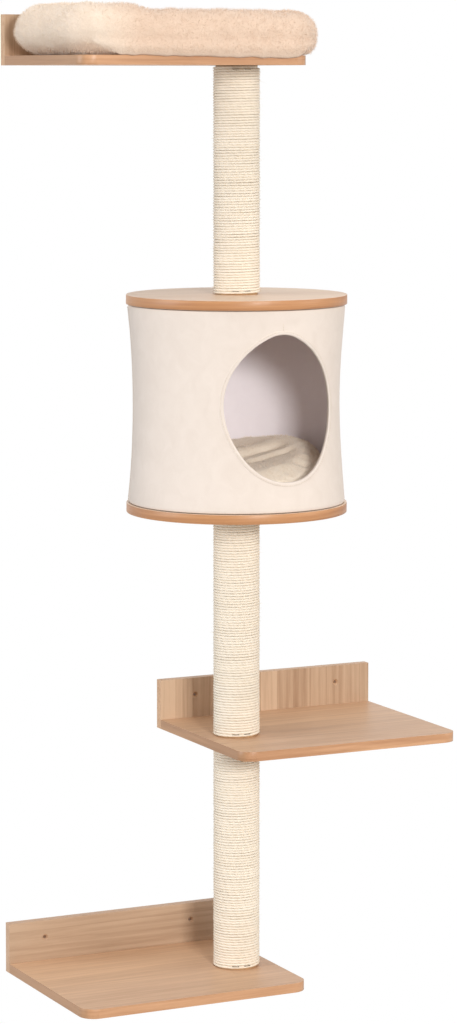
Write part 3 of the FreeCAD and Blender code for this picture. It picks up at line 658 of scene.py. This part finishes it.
def light_room():
    world = bpy.data.worlds.new("white studio")
    bpy.context.scene.world = world
    world.use_nodes = True
    tree = world.node_tree
    background = tree.nodes["Background"]
    path = tree.nodes.new("ShaderNodeLightPath").outputs
    seen = calculate(tree, "MAXIMUM", path["Is Camera Ray"],
                     calculate(tree, "MAXIMUM", path["Is Glossy Ray"], path["Is Transmission Ray"]))
    tree.links.new(ranged(tree, seen, 0, 1, 0.36, 1.0), background.inputs["Strength"])
    tree.links.new(blended(tree, seen, (1.0, 0.92, 0.83, 1), (1, 1, 1, 1)), background.inputs["Color"])


def lay_floor():
    material, tree, shader = new_material("pale floor", Roughness=0.9)
    speck = noise_value(tree, object_place(tree), 30.0, 3.0)
    tree.links.new(blended(tree, speck, (0.84, 0.84, 0.84, 1), (0.88, 0.88, 0.88, 1)), shader.inputs["Base Color"])
    path = tree.nodes.new("ShaderNodeLightPath").outputs
    shader.inputs["Emission Color"].default_value = (1, 1, 1, 1)
    tree.links.new(calculate(tree, "MULTIPLY", path["Is Camera Ray"], 0.55), shader.inputs["Emission Strength"])
    floor = mesh_object("studio_floor", [(-1.6, -1.6, -0.6), (1.6, -1.6, -0.6), (1.6, 1.2, -0.6), (-1.6, 1.2, -0.6)],
                        [(0, 1, 2, 3)], material, False)


# ---- boards and hardware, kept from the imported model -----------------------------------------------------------

def dress(node, material, edge=0.0):
    piece = bpy.data.objects[node]
    for slot in piece.material_slots:
        slot.material = material
    if edge:
        weld = piece.modifiers.new("weld", "WELD")
        weld.merge_threshold = 1e-5
        eased = piece.modifiers.new("eased edges", "BEVEL")
        eased.width, eased.segments = edge, 2
        eased.limit_method, eased.angle_limit = "ANGLE", math.radians(35)
        eased.harden_normals = True


def finish_boards():
    shelf, disc = shelf_finish(), disc_finish()
    level_grain, upright_grain = level_back_finish(), upright_back_finish()
    for level in ("lower", "middle", "upper"):
        dress(level + "_shelf_board", shelf, 0.7 * MM)
        dress(level + "_back_board", level_grain if level == "lower" else upright_grain)
    dress("condo_base_disc", disc, 0.8 * MM)
    dress("condo_top_disc", disc, 0.8 * MM)


def finish_hardware():
    steel, wood, board = steel_finish(), plain_wood_finish(), cardboard_finish()
    for node in ("shelf_screws", "post_bolts", "middle_shelf_stud"):
        dress(node, steel)
    # The staples are coloured dark: partly the wire's own tone and partly painted shade for the dark marks under the
    # rope ends.
    dress("rope_staples", steel_finish("staple wire darkened with painted shade", colour(112, 100, 90), colour(70, 60, 52)))
    for node in ("condo_base_cleat", "condo_top_cleat", "condo_rods", "post_plugs"):
        dress(node, wood)
    for post in POSTS:
        dress(post + "_post_tube", board)


# ---- rope ------------------------------------------------------------------------------------------------------

def rope_line(low, high, seed):
    # Points of the rope's centre line, wound by hand: the turns' height and tightness vary a little.
    start, end = low + ROPE_RADIUS + 0.25 * MM, high - ROPE_RADIUS - 0.25 * MM
    turns = (end - start) / ROPE_PITCH
    t = np.linspace(0, turns, int(turns * ROPE_STEPS))
    angle = math.pi / 2 + 2 * math.pi * t
    wander = np.array([noise.noise(Vector((seed * 7.3, s * 0.37, math.cos(s * 2 * math.pi)))) for s in t])
    bulge = np.array([noise.noise(Vector((seed * 3.1 + 40, s * 0.21, math.sin(s * 2 * math.pi) * 0.8))) for s in t])
    settle = np.clip(np.minimum(t, turns - t), 0, 1)
    z = start + (end - start) * t / turns + wander * 0.42 * MM * settle
    radius = ROPE_COIL + bulge * 0.28 * MM * settle
    return t, np.stack([radius * np.cos(angle), AXIS_Y + radius * np.sin(angle), z], axis=1), angle


def wind_post(post, seed):
    low, high = POSTS[post][0].z, POSTS[post][1].z
    t, line, angle = rope_line(low, high, seed)
    outward = np.stack([np.cos(angle), np.sin(angle), np.zeros_like(angle)], axis=1)
    upward = np.array([0.0, 0.0, 1.0])
    fullness = np.array([noise.noise(Vector((seed * 5.7, s * 1.9, 0.3))) for s in t])
    radius = ROPE_RADIUS * (1 + 0.07 * fullness)
    round_rope = 2 * math.pi * np.arange(ROPE_SIDES) / ROPE_SIDES
    points = (line[:, None, :] + radius[:, None, None] * (
        outward[:, None, :] * np.cos(round_rope)[None, :, None] + upward * np.sin(round_rope)[None, :, None]))
    steps = len(t)
    mesh = bpy.data.meshes.new(post + "_rope_winding")
    mesh.vertices.add(steps * ROPE_SIDES)
    mesh.vertices.foreach_set("co", points.reshape(-1).astype(np.float32))
    row, side = np.meshgrid(np.arange(steps - 1), np.arange(ROPE_SIDES), indexing="ij")
    following = (side + 1) % ROPE_SIDES
    quads = np.stack([row * ROPE_SIDES + side, (row + 1) * ROPE_SIDES + side, (row + 1) * ROPE_SIDES + following,
                      row * ROPE_SIDES + following], axis=-1).reshape(-1, 4)
    count = len(quads)
    ends = [np.arange(ROPE_SIDES), np.arange(ROPE_SIDES)[::-1] + (steps - 1) * ROPE_SIDES]
    corners = np.concatenate([quads.ravel(), *ends])
    mesh.loops.add(len(corners))
    mesh.loops.foreach_set("vertex_index", corners.astype(np.int32))
    mesh.polygons.add(count + 2)
    starts = np.concatenate([np.arange(count) * 4, [count * 4, count * 4 + ROPE_SIDES]])
    mesh.polygons.foreach_set("loop_start", starts.astype(np.int32))
    mesh.update(calc_edges=True)
    lay = mesh.uv_layers.new(name="lay")
    travelled = t * 2 * math.pi * ROPE_COIL / (2.6 * ROPE_RADIUS * 2)
    wrap = np.stack([side, side, side + 1, side + 1], axis=-1).reshape(-1) / ROPE_SIDES
    along = travelled[np.stack([row, row + 1, row + 1, row], axis=-1).reshape(-1)]
    uv = np.zeros((len(corners), 2), np.float32)
    uv[:count * 4, 0], uv[:count * 4, 1] = along, wrap
    lay.data.foreach_set("uv", uv.ravel())
    winding = finished_object(post + "_rope_winding", mesh, SISAL)
    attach(winding, "tree")
    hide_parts(post + "_post_sisal", *(["post_rope_ends"] if post == "lower" else []))
    fray(post, line, outward, seed)


def fray(post, line, outward, seed):
    # Loose sisal fibres that stand off the rope, thicker at the two ends of the post.
    rng = np.random.default_rng(seed)
    loose = rng.integers(0, len(line) - 1, 2200)
    ends = np.concatenate([rng.integers(0, ROPE_STEPS * 2, 90), len(line) - 2 - rng.integers(0, ROPE_STEPS * 2, 90)])
    index = np.concatenate([loose, ends])
    along = line[index + 1] - line[index]
    along /= np.linalg.norm(along, axis=1, keepdims=True)
    along *= rng.choice([-1, 1], len(index))[:, None]
    tilt = rng.normal(0, 0.7, len(index))
    out = outward[index] + np.array([0, 0, 1.0]) * tilt[:, None] * 0.8
    roots = line[index] + (outward[index] * np.cos(tilt)[:, None] + np.array([0, 0, 1.0]) * np.sin(tilt)[:, None]) * ROPE_RADIUS * 0.95
    lift = rng.uniform(0.08, 0.75, len(index))[:, None]
    lengths = rng.gamma(4.0, 1.15, len(index)) * MM
    fibres = blades(post + "_rope_fibres", roots, along + out * lift, lengths, 0.16 * MM, SISAL_FIBRE, 0.5, seed + 9)
    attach(fibres, "tree")


# ---- condo cover -----------------------------------------------------------------------------------------------

def entry_outline(grow, count):
    # The egg's outline as count points (x, height above the cabin floor), from its lowest point to the right.
    widest = ENTRY_BOTTOM + ENTRY_DEPTH + ENTRY_SEWN_UP
    halves = []
    for way, radius, reach in ((-1, ENTRY_LOWER_SIDE, ENTRY_DEPTH), (1, ENTRY_UPPER_SIDE, ENTRY_RISE)):
        across, along = radius - ENTRY_HALF_WIDTH, radius - reach
        end_centre = (across ** 2 - along ** 2) / (2 * along)
        turn = math.atan2(end_centre, across)
        half = []
        for step in range(61):
            angle = turn * step / 60
            half.append(((radius + grow) * math.cos(angle) - across, widest + way * (radius + grow) * math.sin(angle)))
        for step in range(1, 61):
            angle = turn + (math.pi / 2 - turn) * step / 60
            end_radius = reach - end_centre + grow
            half.append((end_radius * math.cos(angle), widest + way * (end_centre + end_radius * math.sin(angle))))
        halves.append(half)
    side = np.array(halves[0][::-1] + halves[1][1:])
    gaps = np.linalg.norm(np.diff(side, axis=0), axis=1)
    kept = np.concatenate([[True], gaps > 1e-6])
    side = side[kept]
    run = np.concatenate([[0], np.cumsum(np.linalg.norm(np.diff(side, axis=0), axis=1))])
    places = np.linspace(0, run[-1], count // 2 + 1)
    right = np.stack([np.interp(places, run, side[:, 0]), np.interp(places, run, side[:, 1])], axis=1)
    right[0, 0] = right[-1, 0] = 0.0
    left = right[1:-1][::-1] * np.array([-1, 1])
    return np.concatenate([right, left])


def lean_of_entry(height):
    # The sewn entry leans a little to the left as seen from the room.
    return 3.0 * MM - 0.045 * (height - ENTRY_BOTTOM - ENTRY_DEPTH)


def cover_radius(height):
    # The cover is drawn in between the discs, and its edges turn in under them.
    t = 2 * height / CABIN_HEIGHT - 1
    edge = min(height, CABIN_HEIGHT - height)
    return COVER_WAIST + (COVER_END - COVER_WAIST) * t * t - 3.0 * MM * math.exp(-edge / (1.6 * MM))


def cover_wrinkle(angle, height):
    edge = math.exp(-(CABIN_HEIGHT - height) / (16 * MM)) + 0.5 * math.exp(-height / (12 * MM))
    x, y = math.sin(angle), math.cos(angle)
    pleat = noise.noise(Vector((x * 11, y * 11, height * 9)))
    soft = noise.noise(Vector((x * 2.2, y * 2.2, height * 9)))
    crease = noise.noise(Vector((x * 4.5, y * 4.5, height * 60)))
    crease *= math.exp(-((CABIN_HEIGHT - height - 0.022) / 0.016) ** 2)
    return (0.9 * edge * pleat + 0.7 * soft + 0.7 * crease) * MM


def on_condo(angle, height, radius):
    return Vector((radius * math.sin(angle), AXIS_Y - radius * math.cos(angle), FLOOR + height))


def sleeve_with_entry(name, radius_at, hole_grow, material, wrinkle=None):
    # A sleeve between the discs with the egg cut out of it: rings run from the egg to a rectangle in front, and a
    # plain grid closes the back.
    count, rings, columns = 176, 18, 120
    half_angle = math.radians(68)
    low, high = 0.0, CABIN_HEIGHT
    hole = entry_outline(hole_grow, count)
    middle = np.array([0.0, ENTRY_BOTTOM + 0.105])
    reach = half_angle * COVER_WAIST
    inner = [(math.asin(x / radius_at(z)) * COVER_WAIST, z) for x, z in hole]
    outer = []
    for s, z in inner:
        way = np.array([s, z]) - middle
        scale = min([reach / abs(way[0])] if abs(way[0]) > 1e-9 else [1e9])
        if way[1] > 1e-9:
            scale = min(scale, (high - middle[1]) / way[1])
        elif way[1] < -1e-9:
            scale = min(scale, (low - middle[1]) / way[1])
        outer.append(middle + way * scale)
    outer = np.array(outer)
    for edge, way in ((low, 1), (high, -1)):
        nearest = int(np.argmin(np.linalg.norm(outer - np.array((reach, edge)), axis=1)))
        for step, rise in enumerate((0.0, 1.5 * MM, 4.5 * MM)):
            index = nearest + way * step
            outer[index] = (reach, edge + way * rise)
            outer[-index] = (-reach, edge + way * rise)
    inner = [(s + lean_of_entry(z), z) for s, z in inner]

    def place(s, z):
        angle = s / COVER_WAIST
        radius = radius_at(z) + (wrinkle(angle, z) if wrinkle else 0.0)
        return on_condo(angle, z, radius)

    points = []
    shares = [(ring / rings) ** 1.15 for ring in range(rings)] + [0.975, 0.99, 1.0]
    for amount in shares:
        for (s0, z0), (s1, z1) in zip(inner, outer):
            points.append(place(s0 + (s1 - s0) * amount, z0 + (z1 - z0) * amount))
    faces = grid_faces(len(shares), count, closed=True)
    levels = sorted({round(float(z), 7) for s, z in outer if abs(s - reach) < 1e-7})
    first = len(points)
    for z in levels:
        for column in range(columns + 1):
            points.append(place(reach + (2 * math.pi * COVER_WAIST - 2 * reach) * column / columns, z))
    faces += grid_faces(len(levels), columns + 1, first=first)
    return welded(mesh_object(name, points, faces, material), 2e-6)


def sew_cover():
    cover = sleeve_with_entry("condo_cover_cloth", cover_radius, 4 * MM, COVER_CLOTH, cover_wrinkle)
    lining = sleeve_with_entry("condo_lining_cloth", lambda height: LINING_RADIUS, 4 * MM, LINING_CLOTH)
    egg = entry_area(5 * MM)
    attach(cover, "tree")
    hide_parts("condo_cover")
    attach(lining, "tree")
    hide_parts("condo_lining")
    sew_hem()
    sew_side_seam()


def entry_area(grow):
    outline = entry_outline(grow, 240)
    x, z = outline[:, 0], outline[:, 1]
    return abs(float(np.dot(x, np.roll(z, -1)) - np.dot(z, np.roll(x, -1)))) / 2


def outline_normals(outline):
    along = np.roll(outline, -1, axis=0) - np.roll(outline, 1, axis=0)
    along /= np.linalg.norm(along, axis=1, keepdims=True)
    return np.stack([along[:, 1], -along[:, 0]], axis=1), along


def on_cover(x, height, proud):
    radius = cover_radius(height) + proud
    angle = math.asin(max(-1.0, min(1.0, (x + lean_of_entry(height)) / radius)))
    return on_condo(angle, height, radius + cover_wrinkle(angle, height))


def sew_hem():
    # Cover and lining turned in together round the entry. The profile runs from the stitched edge over the roll.
    count = 220
    outline = entry_outline(0.0, count)
    normals, along = outline_normals(outline)
    wall = COVER_WAIST - LINING_RADIUS
    profile = [(HEM_WIDTH, -0.3 * MM), (HEM_WIDTH - 0.1 * MM, 0.45 * MM), (HEM_WIDTH - 0.7 * MM, 0.8 * MM),
               (HEM_WIDTH * 0.75, HEM_PROUD * 0.8), (HEM_WIDTH * 0.45, HEM_PROUD), (1.6 * MM, HEM_PROUD),
               (0.55 * MM, 0.45 * MM), (0.05 * MM, -0.6 * MM), (0.0, -wall / 2), (0.1 * MM, -wall + 0.4 * MM),
               (0.9 * MM, -wall - 0.5 * MM), (2.4 * MM, -wall - 0.8 * MM), (HEM_WIDTH * 0.9, -wall - 0.7 * MM),
               (HEM_WIDTH, -wall + 0.2 * MM)]
    points = []
    for grow, proud in profile:
        for index, ((x, z), (nx, nz)) in enumerate(zip(outline, normals)):
            ripple = 0.16 * MM * noise.noise(Vector((index * 0.45, grow * 300, 1)))
            points.append(on_cover(x + nx * grow, z + nz * grow, proud + (ripple if proud > 0 else 0)))
    hem = welded(mesh_object("entry_hem", points, grid_faces(len(profile), count, closed=True), COVER_CLOTH))
    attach(hem, "tree")
    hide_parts("entry_binding")
    stitched = []
    line = outline + normals * (HEM_WIDTH - 1.5 * MM)
    stitched += stitches(line, HEM_PROUD * 0.85, closed=True)
    apex = float(outline[:, 1].max())
    dart = np.array([(0.0, apex + HEM_WIDTH + step * 1.0 * MM) for step in range(15)])
    stitched += stitches(dart, 0.1 * MM, closed=False)
    thread = stitch_mesh("entry_stitches", stitched)
    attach(thread, "tree")


def stitches(line, proud, closed, length=3.0 * MM, gap=1.0 * MM):
    # Places of the stitches along a line of (x, height) on the cover, each as its two ends.
    path = np.concatenate([line, line[:1]]) if closed else line
    run = np.concatenate([[0], np.cumsum(np.linalg.norm(np.diff(path, axis=0), axis=1))])
    made = []
    for index in range(int(run[-1] / (length + gap))):
        ends = [index * (length + gap), index * (length + gap) + length]
        xs, zs = np.interp(ends, run, path[:, 0]), np.interp(ends, run, path[:, 1])
        made.append([on_cover(float(x), float(z), proud) for x, z in zip(xs, zs)])
    return made


def stitch_mesh(name, ends, radius=0.32 * MM):
    # Each stitch is a plump length of thread that dives at both ends.
    points, faces = [], []
    for start, end in ends:
        run = end - start
        outward = Vector((start.x, start.y - AXIS_Y, 0)).normalized()
        side = run.cross(outward).normalized()
        first = len(points)
        for share, sink, fat in ((0.0, -0.9, 0.45), (0.15, 0.2, 0.95), (0.5, 0.5, 1.1), (0.85, 0.2, 0.95), (1.0, -0.9, 0.45)):
            centre = start + run * share + outward * radius * sink
            for turn in range(6):
                angle = math.radians(60 * turn)
                points.append(centre + (side * math.cos(angle) + outward * math.sin(angle)) * radius * fat)
        faces += grid_faces(5, 6, closed=True, first=first)
    return mesh_object(name, points, faces, THREAD)


def sew_side_seam():
    # The cover's one upright seam, lapped and stitched, on the side towards the wall.
    centre = math.radians(-112)
    points, rows = [], 40
    profile = [(-5.0, -0.3), (-4.9, 0.35), (-4.0, 0.75), (0.0, 0.85), (3.6, 0.75), (4.6, 0.3), (4.7, -0.3)]
    for across, proud in profile:
        for row in range(rows + 1):
            height = CABIN_HEIGHT * (0.004 + 0.992 * row / rows)
            angle = centre + across * MM / COVER_WAIST
            points.append(on_condo(angle, height, cover_radius(height) + cover_wrinkle(angle, height) + proud * MM))
    seam = welded(mesh_object("cover_side_seam", points, grid_faces(len(profile), rows + 1), COVER_CLOTH))
    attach(seam, "tree")
    ends = []
    for offset in (-3.2, 2.8):
        angle = centre + offset * MM / COVER_WAIST
        steps = int(CABIN_HEIGHT / (4.0 * MM))
        for step in range(1, steps):
            heights = (step * 4.0 * MM, step * 4.0 * MM + 3.0 * MM)
            ends.append([on_condo(angle, h, cover_radius(h) + cover_wrinkle(angle, h) + 0.75 * MM) for h in heights])
    thread = stitch_mesh("side_seam_stitches", ends)
    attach(thread, "tree")


# ---- condo pad -------------------------------------------------------------------------------------------------

PAD_RISING = Vector((math.cos(math.radians(30)), math.sin(math.radians(30)), 0))
PAD_LEVEL = Vector((-PAD_RISING.y, PAD_RISING.x, 0))


def smooth_rings(rings, steps):
    # Rings (radius, height, tilt) joined by a smooth curve.
    made = []
    count = len(rings)
    for index in range(count - 1):
        before, first, second, after = (np.array(rings[min(max(index + shift, 0), count - 1)])
                                        for shift in (-1, 0, 1, 2))
        for step in range(steps):
            t = step / steps
            made.append(0.5 * ((2 * first) + (second - before) * t + (2 * before - 5 * first + 4 * second - after) * t * t
                               + (3 * first - before - 3 * second + after) * t ** 3))
    made.append(np.array(rings[-1]))
    return made


def pad_height_change(x, y):
    # Loose folds across the pad: a long roll behind the middle and a shorter one on its right, with a crease
    # in front of each. x to the right and y towards the wall, from the posts' axis, in millimetres.
    across = 0.92 * x - 0.39 * y
    depth = 0.39 * x + 0.92 * y
    bow = 10 * math.sin(across / 46) + 0.05 * across
    first = depth - 26 - bow
    second = depth + 8 - 0.35 * (across - 40)
    roll = 7.0 * math.exp(-((first - 15) / 15) ** 2) * fade(abs(across + 8), 60, 95)
    crease = -6.5 * math.exp(-((first + 3) / 5.0) ** 2) * fade(abs(across + 8), 60, 92)
    small_roll = 4.5 * math.exp(-((second - 10) / 11) ** 2) * fade(abs(across - 52), 26, 52)
    small_crease = -4.5 * math.exp(-((second + 3) / 4.5) ** 2) * fade(abs(across - 50), 24, 48)
    full = 3.0 * fade(-(0.55 * x + 0.85 * y), -80, -20) + 3.0 * fade(-x, -120, -60)
    return (full + roll + crease + small_roll + small_crease) * MM


def fade(value, inner, outer):
    t = min(1.0, max(0.0, (outer - value) / (outer - inner)))
    return t * t * (3 - 2 * t)


def stuff_condo_pad():
    rings = smooth_rings([(112, 0.6, 0), (127, 2.0, 0.5), (134, 14, 3), (137, 32, 6), (135.5, 49, 9.5),
                          (129, 59, 12.2), (103, 62, 11.4), (60, 59.5, 9.5), (26, 58, 8.5), (0.5, 57.5, 8.5)], 3)
    around = 120
    points = []
    for radius, height, tilt in rings:
        lean = math.radians(tilt)
        for step in range(around):
            angle = 2 * math.pi * step / around
            loose = 1 + 0.012 * noise.noise(Vector((math.cos(angle) * 1.7, math.sin(angle) * 1.7, height * 0.05)))
            loose += 0.055 * max(0.0, math.cos(angle + 0.15)) ** 3
            rising = radius * loose * math.cos(angle)
            level = radius * loose * math.sin(angle)
            place = (PAD_RISING * (rising * math.cos(lean)) + PAD_LEVEL * level
                     + Vector((0, 0, height + rising * math.sin(lean))))
            points.append(Vector((0, AXIS_Y, PAD_FOOT)) + place * MM)
    faces = grid_faces(len(rings), around, closed=True)
    faces += [tuple(reversed(range(around))), tuple(range((len(rings) - 1) * around, len(rings) * around))]
    pad = mesh_object("condo_cushion", points, faces, PAD_PLUSH)
    seam_z = 30 * MM

    def held(place):
        return 1.0 if place.z < PAD_FOOT + 4 * MM else 0.0

    plumped(pad, 5 * MM, 3.0, 7 * MM, held)

    def folded(place):
        x, y = place.x / MM, (place.y - AXIS_Y) / MM
        share = fade(-(place.z - PAD_FOOT) / MM, -44, -26)
        lump = noise.noise(place * 22) * 1.6 * MM + noise.noise(place * 60) * 0.7 * MM
        moved = place + Vector((0, 0, (pad_height_change(x, y) + lump) * share))
        moved.z = max(moved.z, PAD_FOOT)
        reach = math.hypot(moved.x, moved.y - AXIS_Y)
        if reach > 149 * MM:
            moved.x *= 149 * MM / reach
            moved.y = AXIS_Y + (moved.y - AXIS_Y) * 149 * MM / reach
        return moved

    moved_points(pad, folded)
    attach(pad, "pad")
    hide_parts("condo_pad")
    hairs = pile("condo_cushion_hair", pad, 26000, 3.2 * MM, 0.3 * MM, PAD_HAIR, 21,
                 keep=lambda places, ways: places[:, 2] > PAD_FOOT + 20 * MM)


# ---- bed -------------------------------------------------------------------------------------------------------

bed_low, bed_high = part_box("bed_bolster")
BED_CENTRE = Vector(((bed_low.x + bed_high.x) / 2 + 0.001, (bed_low.y + bed_high.y) / 2, 0))
SHELF_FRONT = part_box("upper_shelf_board")[0].y
BACK_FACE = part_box("upper_back_board")[0].y


def bed_ring(inset, corner, steps_per_corner=14, steps_per_side=26):
    # A rounded rectangle, as (place, outward direction), inset from the bed's outline.
    half_x, half_y = BED_LENGTH / 2 - inset - corner, BED_DEPTH / 2 - inset - corner
    made = []
    for quarter, (sx, sy) in enumerate(((1, 1), (-1, 1), (-1, -1), (1, -1))):
        centre = BED_CENTRE + Vector((sx * half_x, sy * half_y, 0))
        for step in range(steps_per_corner + 1):
            angle = math.radians(90 * quarter + 90 * step / steps_per_corner)
            way = Vector((math.cos(angle), math.sin(angle), 0))
            made.append((centre + way * corner, way))
        nx, ny = ((-1, 1), (-1, -1), (1, -1), (1, 1))[quarter]
        following = BED_CENTRE + Vector((nx * half_x, ny * half_y, 0)) + way * corner
        here = made[-1][0]
        for step in range(1, steps_per_side):
            made.append((here.lerp(following, step / steps_per_side), way.copy()))
    return made


BOLSTER_SECTION = [(-23, 0), (-12, -0.2), (0, -0.2), (12, -0.2), (23, 0), (31, 4), (36.5, 11), (39.5, 20), (41, 30), (41, 38),
                   (39.5, 47), (36, 56.5), (30, 65.5), (22, 73), (12, 78), (0, 80), (-12, 78), (-22, 73), (-30, 65.5),
                   (-36, 56.5), (-39.5, 47), (-41, 38), (-41, 30), (-39.5, 20), (-36.5, 11), (-31, 4)]


def fullest_end(place):
    # The bolster is stuffed fuller round its left end: 1 there, 0 past a soft step in the front and back rolls.
    return fade(0.9 * place.x - 0.44 * place.y, -0.085, -0.060)


def overhang(x):
    # How far the plush hangs over the shelf's front edge, more towards the posts.
    t = min(1.0, max(0.0, (x - bed_low.x) / (bed_high.x - bed_low.x)))
    return (0.8 + 5.0 * t + 1.6 * noise.noise(Vector((x * 55, 3.0, 1.0)))) * MM


def stuff_bolster():
    ring = bed_ring(BOLSTER_WIDTH / 2 - 3 * MM, BED_CORNER - BOLSTER_WIDTH / 2)
    count, sides = len(ring), len(BOLSTER_SECTION)
    points = []
    for place, way in ring:
        lump = noise.noise(Vector((place.x * 13, place.y * 13, 3.0)))
        tall = 0.87 + 0.10 * fullest_end(place) + 0.03 * lump
        tall += 0.05 * noise.noise(Vector((place.x * 31, place.y * 31, 4.0)))
        wide = 0.965 + 0.03 * noise.noise(Vector((place.x * 17, place.y * 17, 9.0)))
        for across, height in BOLSTER_SECTION:
            points.append(place + way * (across * wide * MM) + Vector((0, 0, BED_FOOT + height * tall * MM)))
    bolster = mesh_object("bed_bolster_roll", points, [(b, a, d, c) for a, b, c, d in grid_faces(count, sides, True)]
                          + [tuple((count - 1) * sides + s for s in (0,))][:0], BED_PLUSH)
    shape = bmesh.new()
    shape.from_mesh(bolster.data)
    shape.verts.ensure_lookup_table()
    last = (count - 1) * sides
    for side in range(sides):
        following = (side + 1) % sides
        shape.faces.new([shape.verts[i] for i in (last + following, last + side, side, following)])
    bmesh.ops.recalc_face_normals(shape, faces=shape.faces)
    shape.to_mesh(bolster.data)
    shape.free()
    bolster.data.polygons.foreach_set("use_smooth", [True] * len(bolster.data.polygons))

    def held(place):
        return 1.0 if place.z < BED_FOOT + 3 * MM else 0.0

    plumped(bolster, 5.5 * MM, 3.5, 7 * MM, held)

    def lumpy(place):
        middle = Vector((place.x - BED_CENTRE.x, place.y - BED_CENTRE.y, 0))
        height = (place.z - BED_FOOT) / MM
        upper = fade(-height, -16, -2)
        swell = noise.noise(Vector((place.x * 15, place.y * 15, place.z * 11))) * 3.2 * MM
        tuft = noise.noise(place * 70) * 1.1 * MM
        moved = place + middle.normalized() * (swell * 0.6 + tuft) * upper + Vector((0, 0, (swell + tuft) * upper))
        # a soft hem that rises and falls along the foot
        hem = noise.noise(Vector((place.x * 24, place.y * 24, 5.0)))
        if 1 < height < 16:
            moved += Vector((0, 0, hem * 2.0 * MM))
        # the foot of the left end is rolled under
        tuck = max(0.0, 1 - height / 38) ** 2
        moved.x += 24 * MM * tuck * fade(place.x - bed_low.x, 14 * MM, 80 * MM)
        moved.z = min(max(moved.z, BED_FOOT), BED_FOOT + 86 * MM)
        if place.y < SHELF_FRONT + 14 * MM and height < 26:
            moved.y -= 7 * MM * fade(height, 12, 26) * (1 - fade(height, 0.8, 5.0))
        if moved.y < SHELF_FRONT - 1.2 * MM:
            ends = fade(abs(place.x - BED_CENTRE.x), BED_LENGTH / 2 - 60 * MM, BED_LENGTH / 2 - 25 * MM)
            moved.z -= (overhang(place.x) + 3 * MM) * fade(height, 3, 22) * ends
        moved.y = min(moved.y, BACK_FACE - 0.6 * MM)
        return moved

    moved_points(bolster, lumpy)
    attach(bolster, "bed")
    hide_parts("bed_bolster")
    hairs = pile("bed_bolster_hair", bolster, 60000, 4.2 * MM, 0.34 * MM, BED_HAIR, 31,
                 keep=lambda places, ways: places[:, 2] > BED_FOOT + 3 * MM)


def stuff_bed_cushion():
    levels = [(61.5, 0, 14), (67, 3, 14), (72, 9, 14), (76.5, 15, 14), (79, 21, 14), (86, 29, 15), (99, 34.5, 16),
              (115, 37, 16), (131, 38, 12)]
    points = []
    for inset, height, corner in levels:
        for place, way in bed_ring(inset * MM, corner * MM, 8, 22):
            points.append(place + Vector((0, 0, BED_FOOT + (height + 0.4) * MM)))
    count = len(points) // len(levels)
    faces = grid_faces(len(levels), count, closed=True)
    faces += [tuple(reversed(range(count))), tuple(range((len(levels) - 1) * count, len(levels) * count))]
    cushion = mesh_object("bed_cushion", points, faces, BED_PLUSH)

    def held(place):
        return 1.0 if place.z < BED_FOOT + 6 * MM else 0.0

    plumped(cushion, 5.5 * MM, 2.5, 5 * MM, held)

    def lumpy(place):
        share = fade(-(place.z - BED_FOOT) / MM, -26, -14)
        lump = noise.noise(place * 19) * 2.2 * MM + noise.noise(place * 55) * 0.9 * MM
        moved = place + Vector((0, 0, lump * share))
        moved.z = max(moved.z, BED_FOOT)
        return moved

    moved_points(cushion, lumpy)
    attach(cushion, "bed")
    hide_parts("bed_pad")
    hairs = pile("bed_cushion_hair", cushion, 14000, 4.0 * MM, 0.34 * MM, BED_HAIR, 41,
                 keep=lambda places, ways: places[:, 2] > BED_FOOT + 20 * MM)


# ---- the whole tree --------------------------------------------------------------------------------------------

def main():
    bpy.context.scene.view_settings.view_transform = "Standard"
    place_camera()
    place_lamps()
    light_room()
    lay_floor()
    finish_boards()
    finish_hardware()
    for seed, post in enumerate(POSTS, 1):
        wind_post(post, seed)
    sew_cover()
    stuff_condo_pad()
    stuff_bolster()
    stuff_bed_cushion()


main()
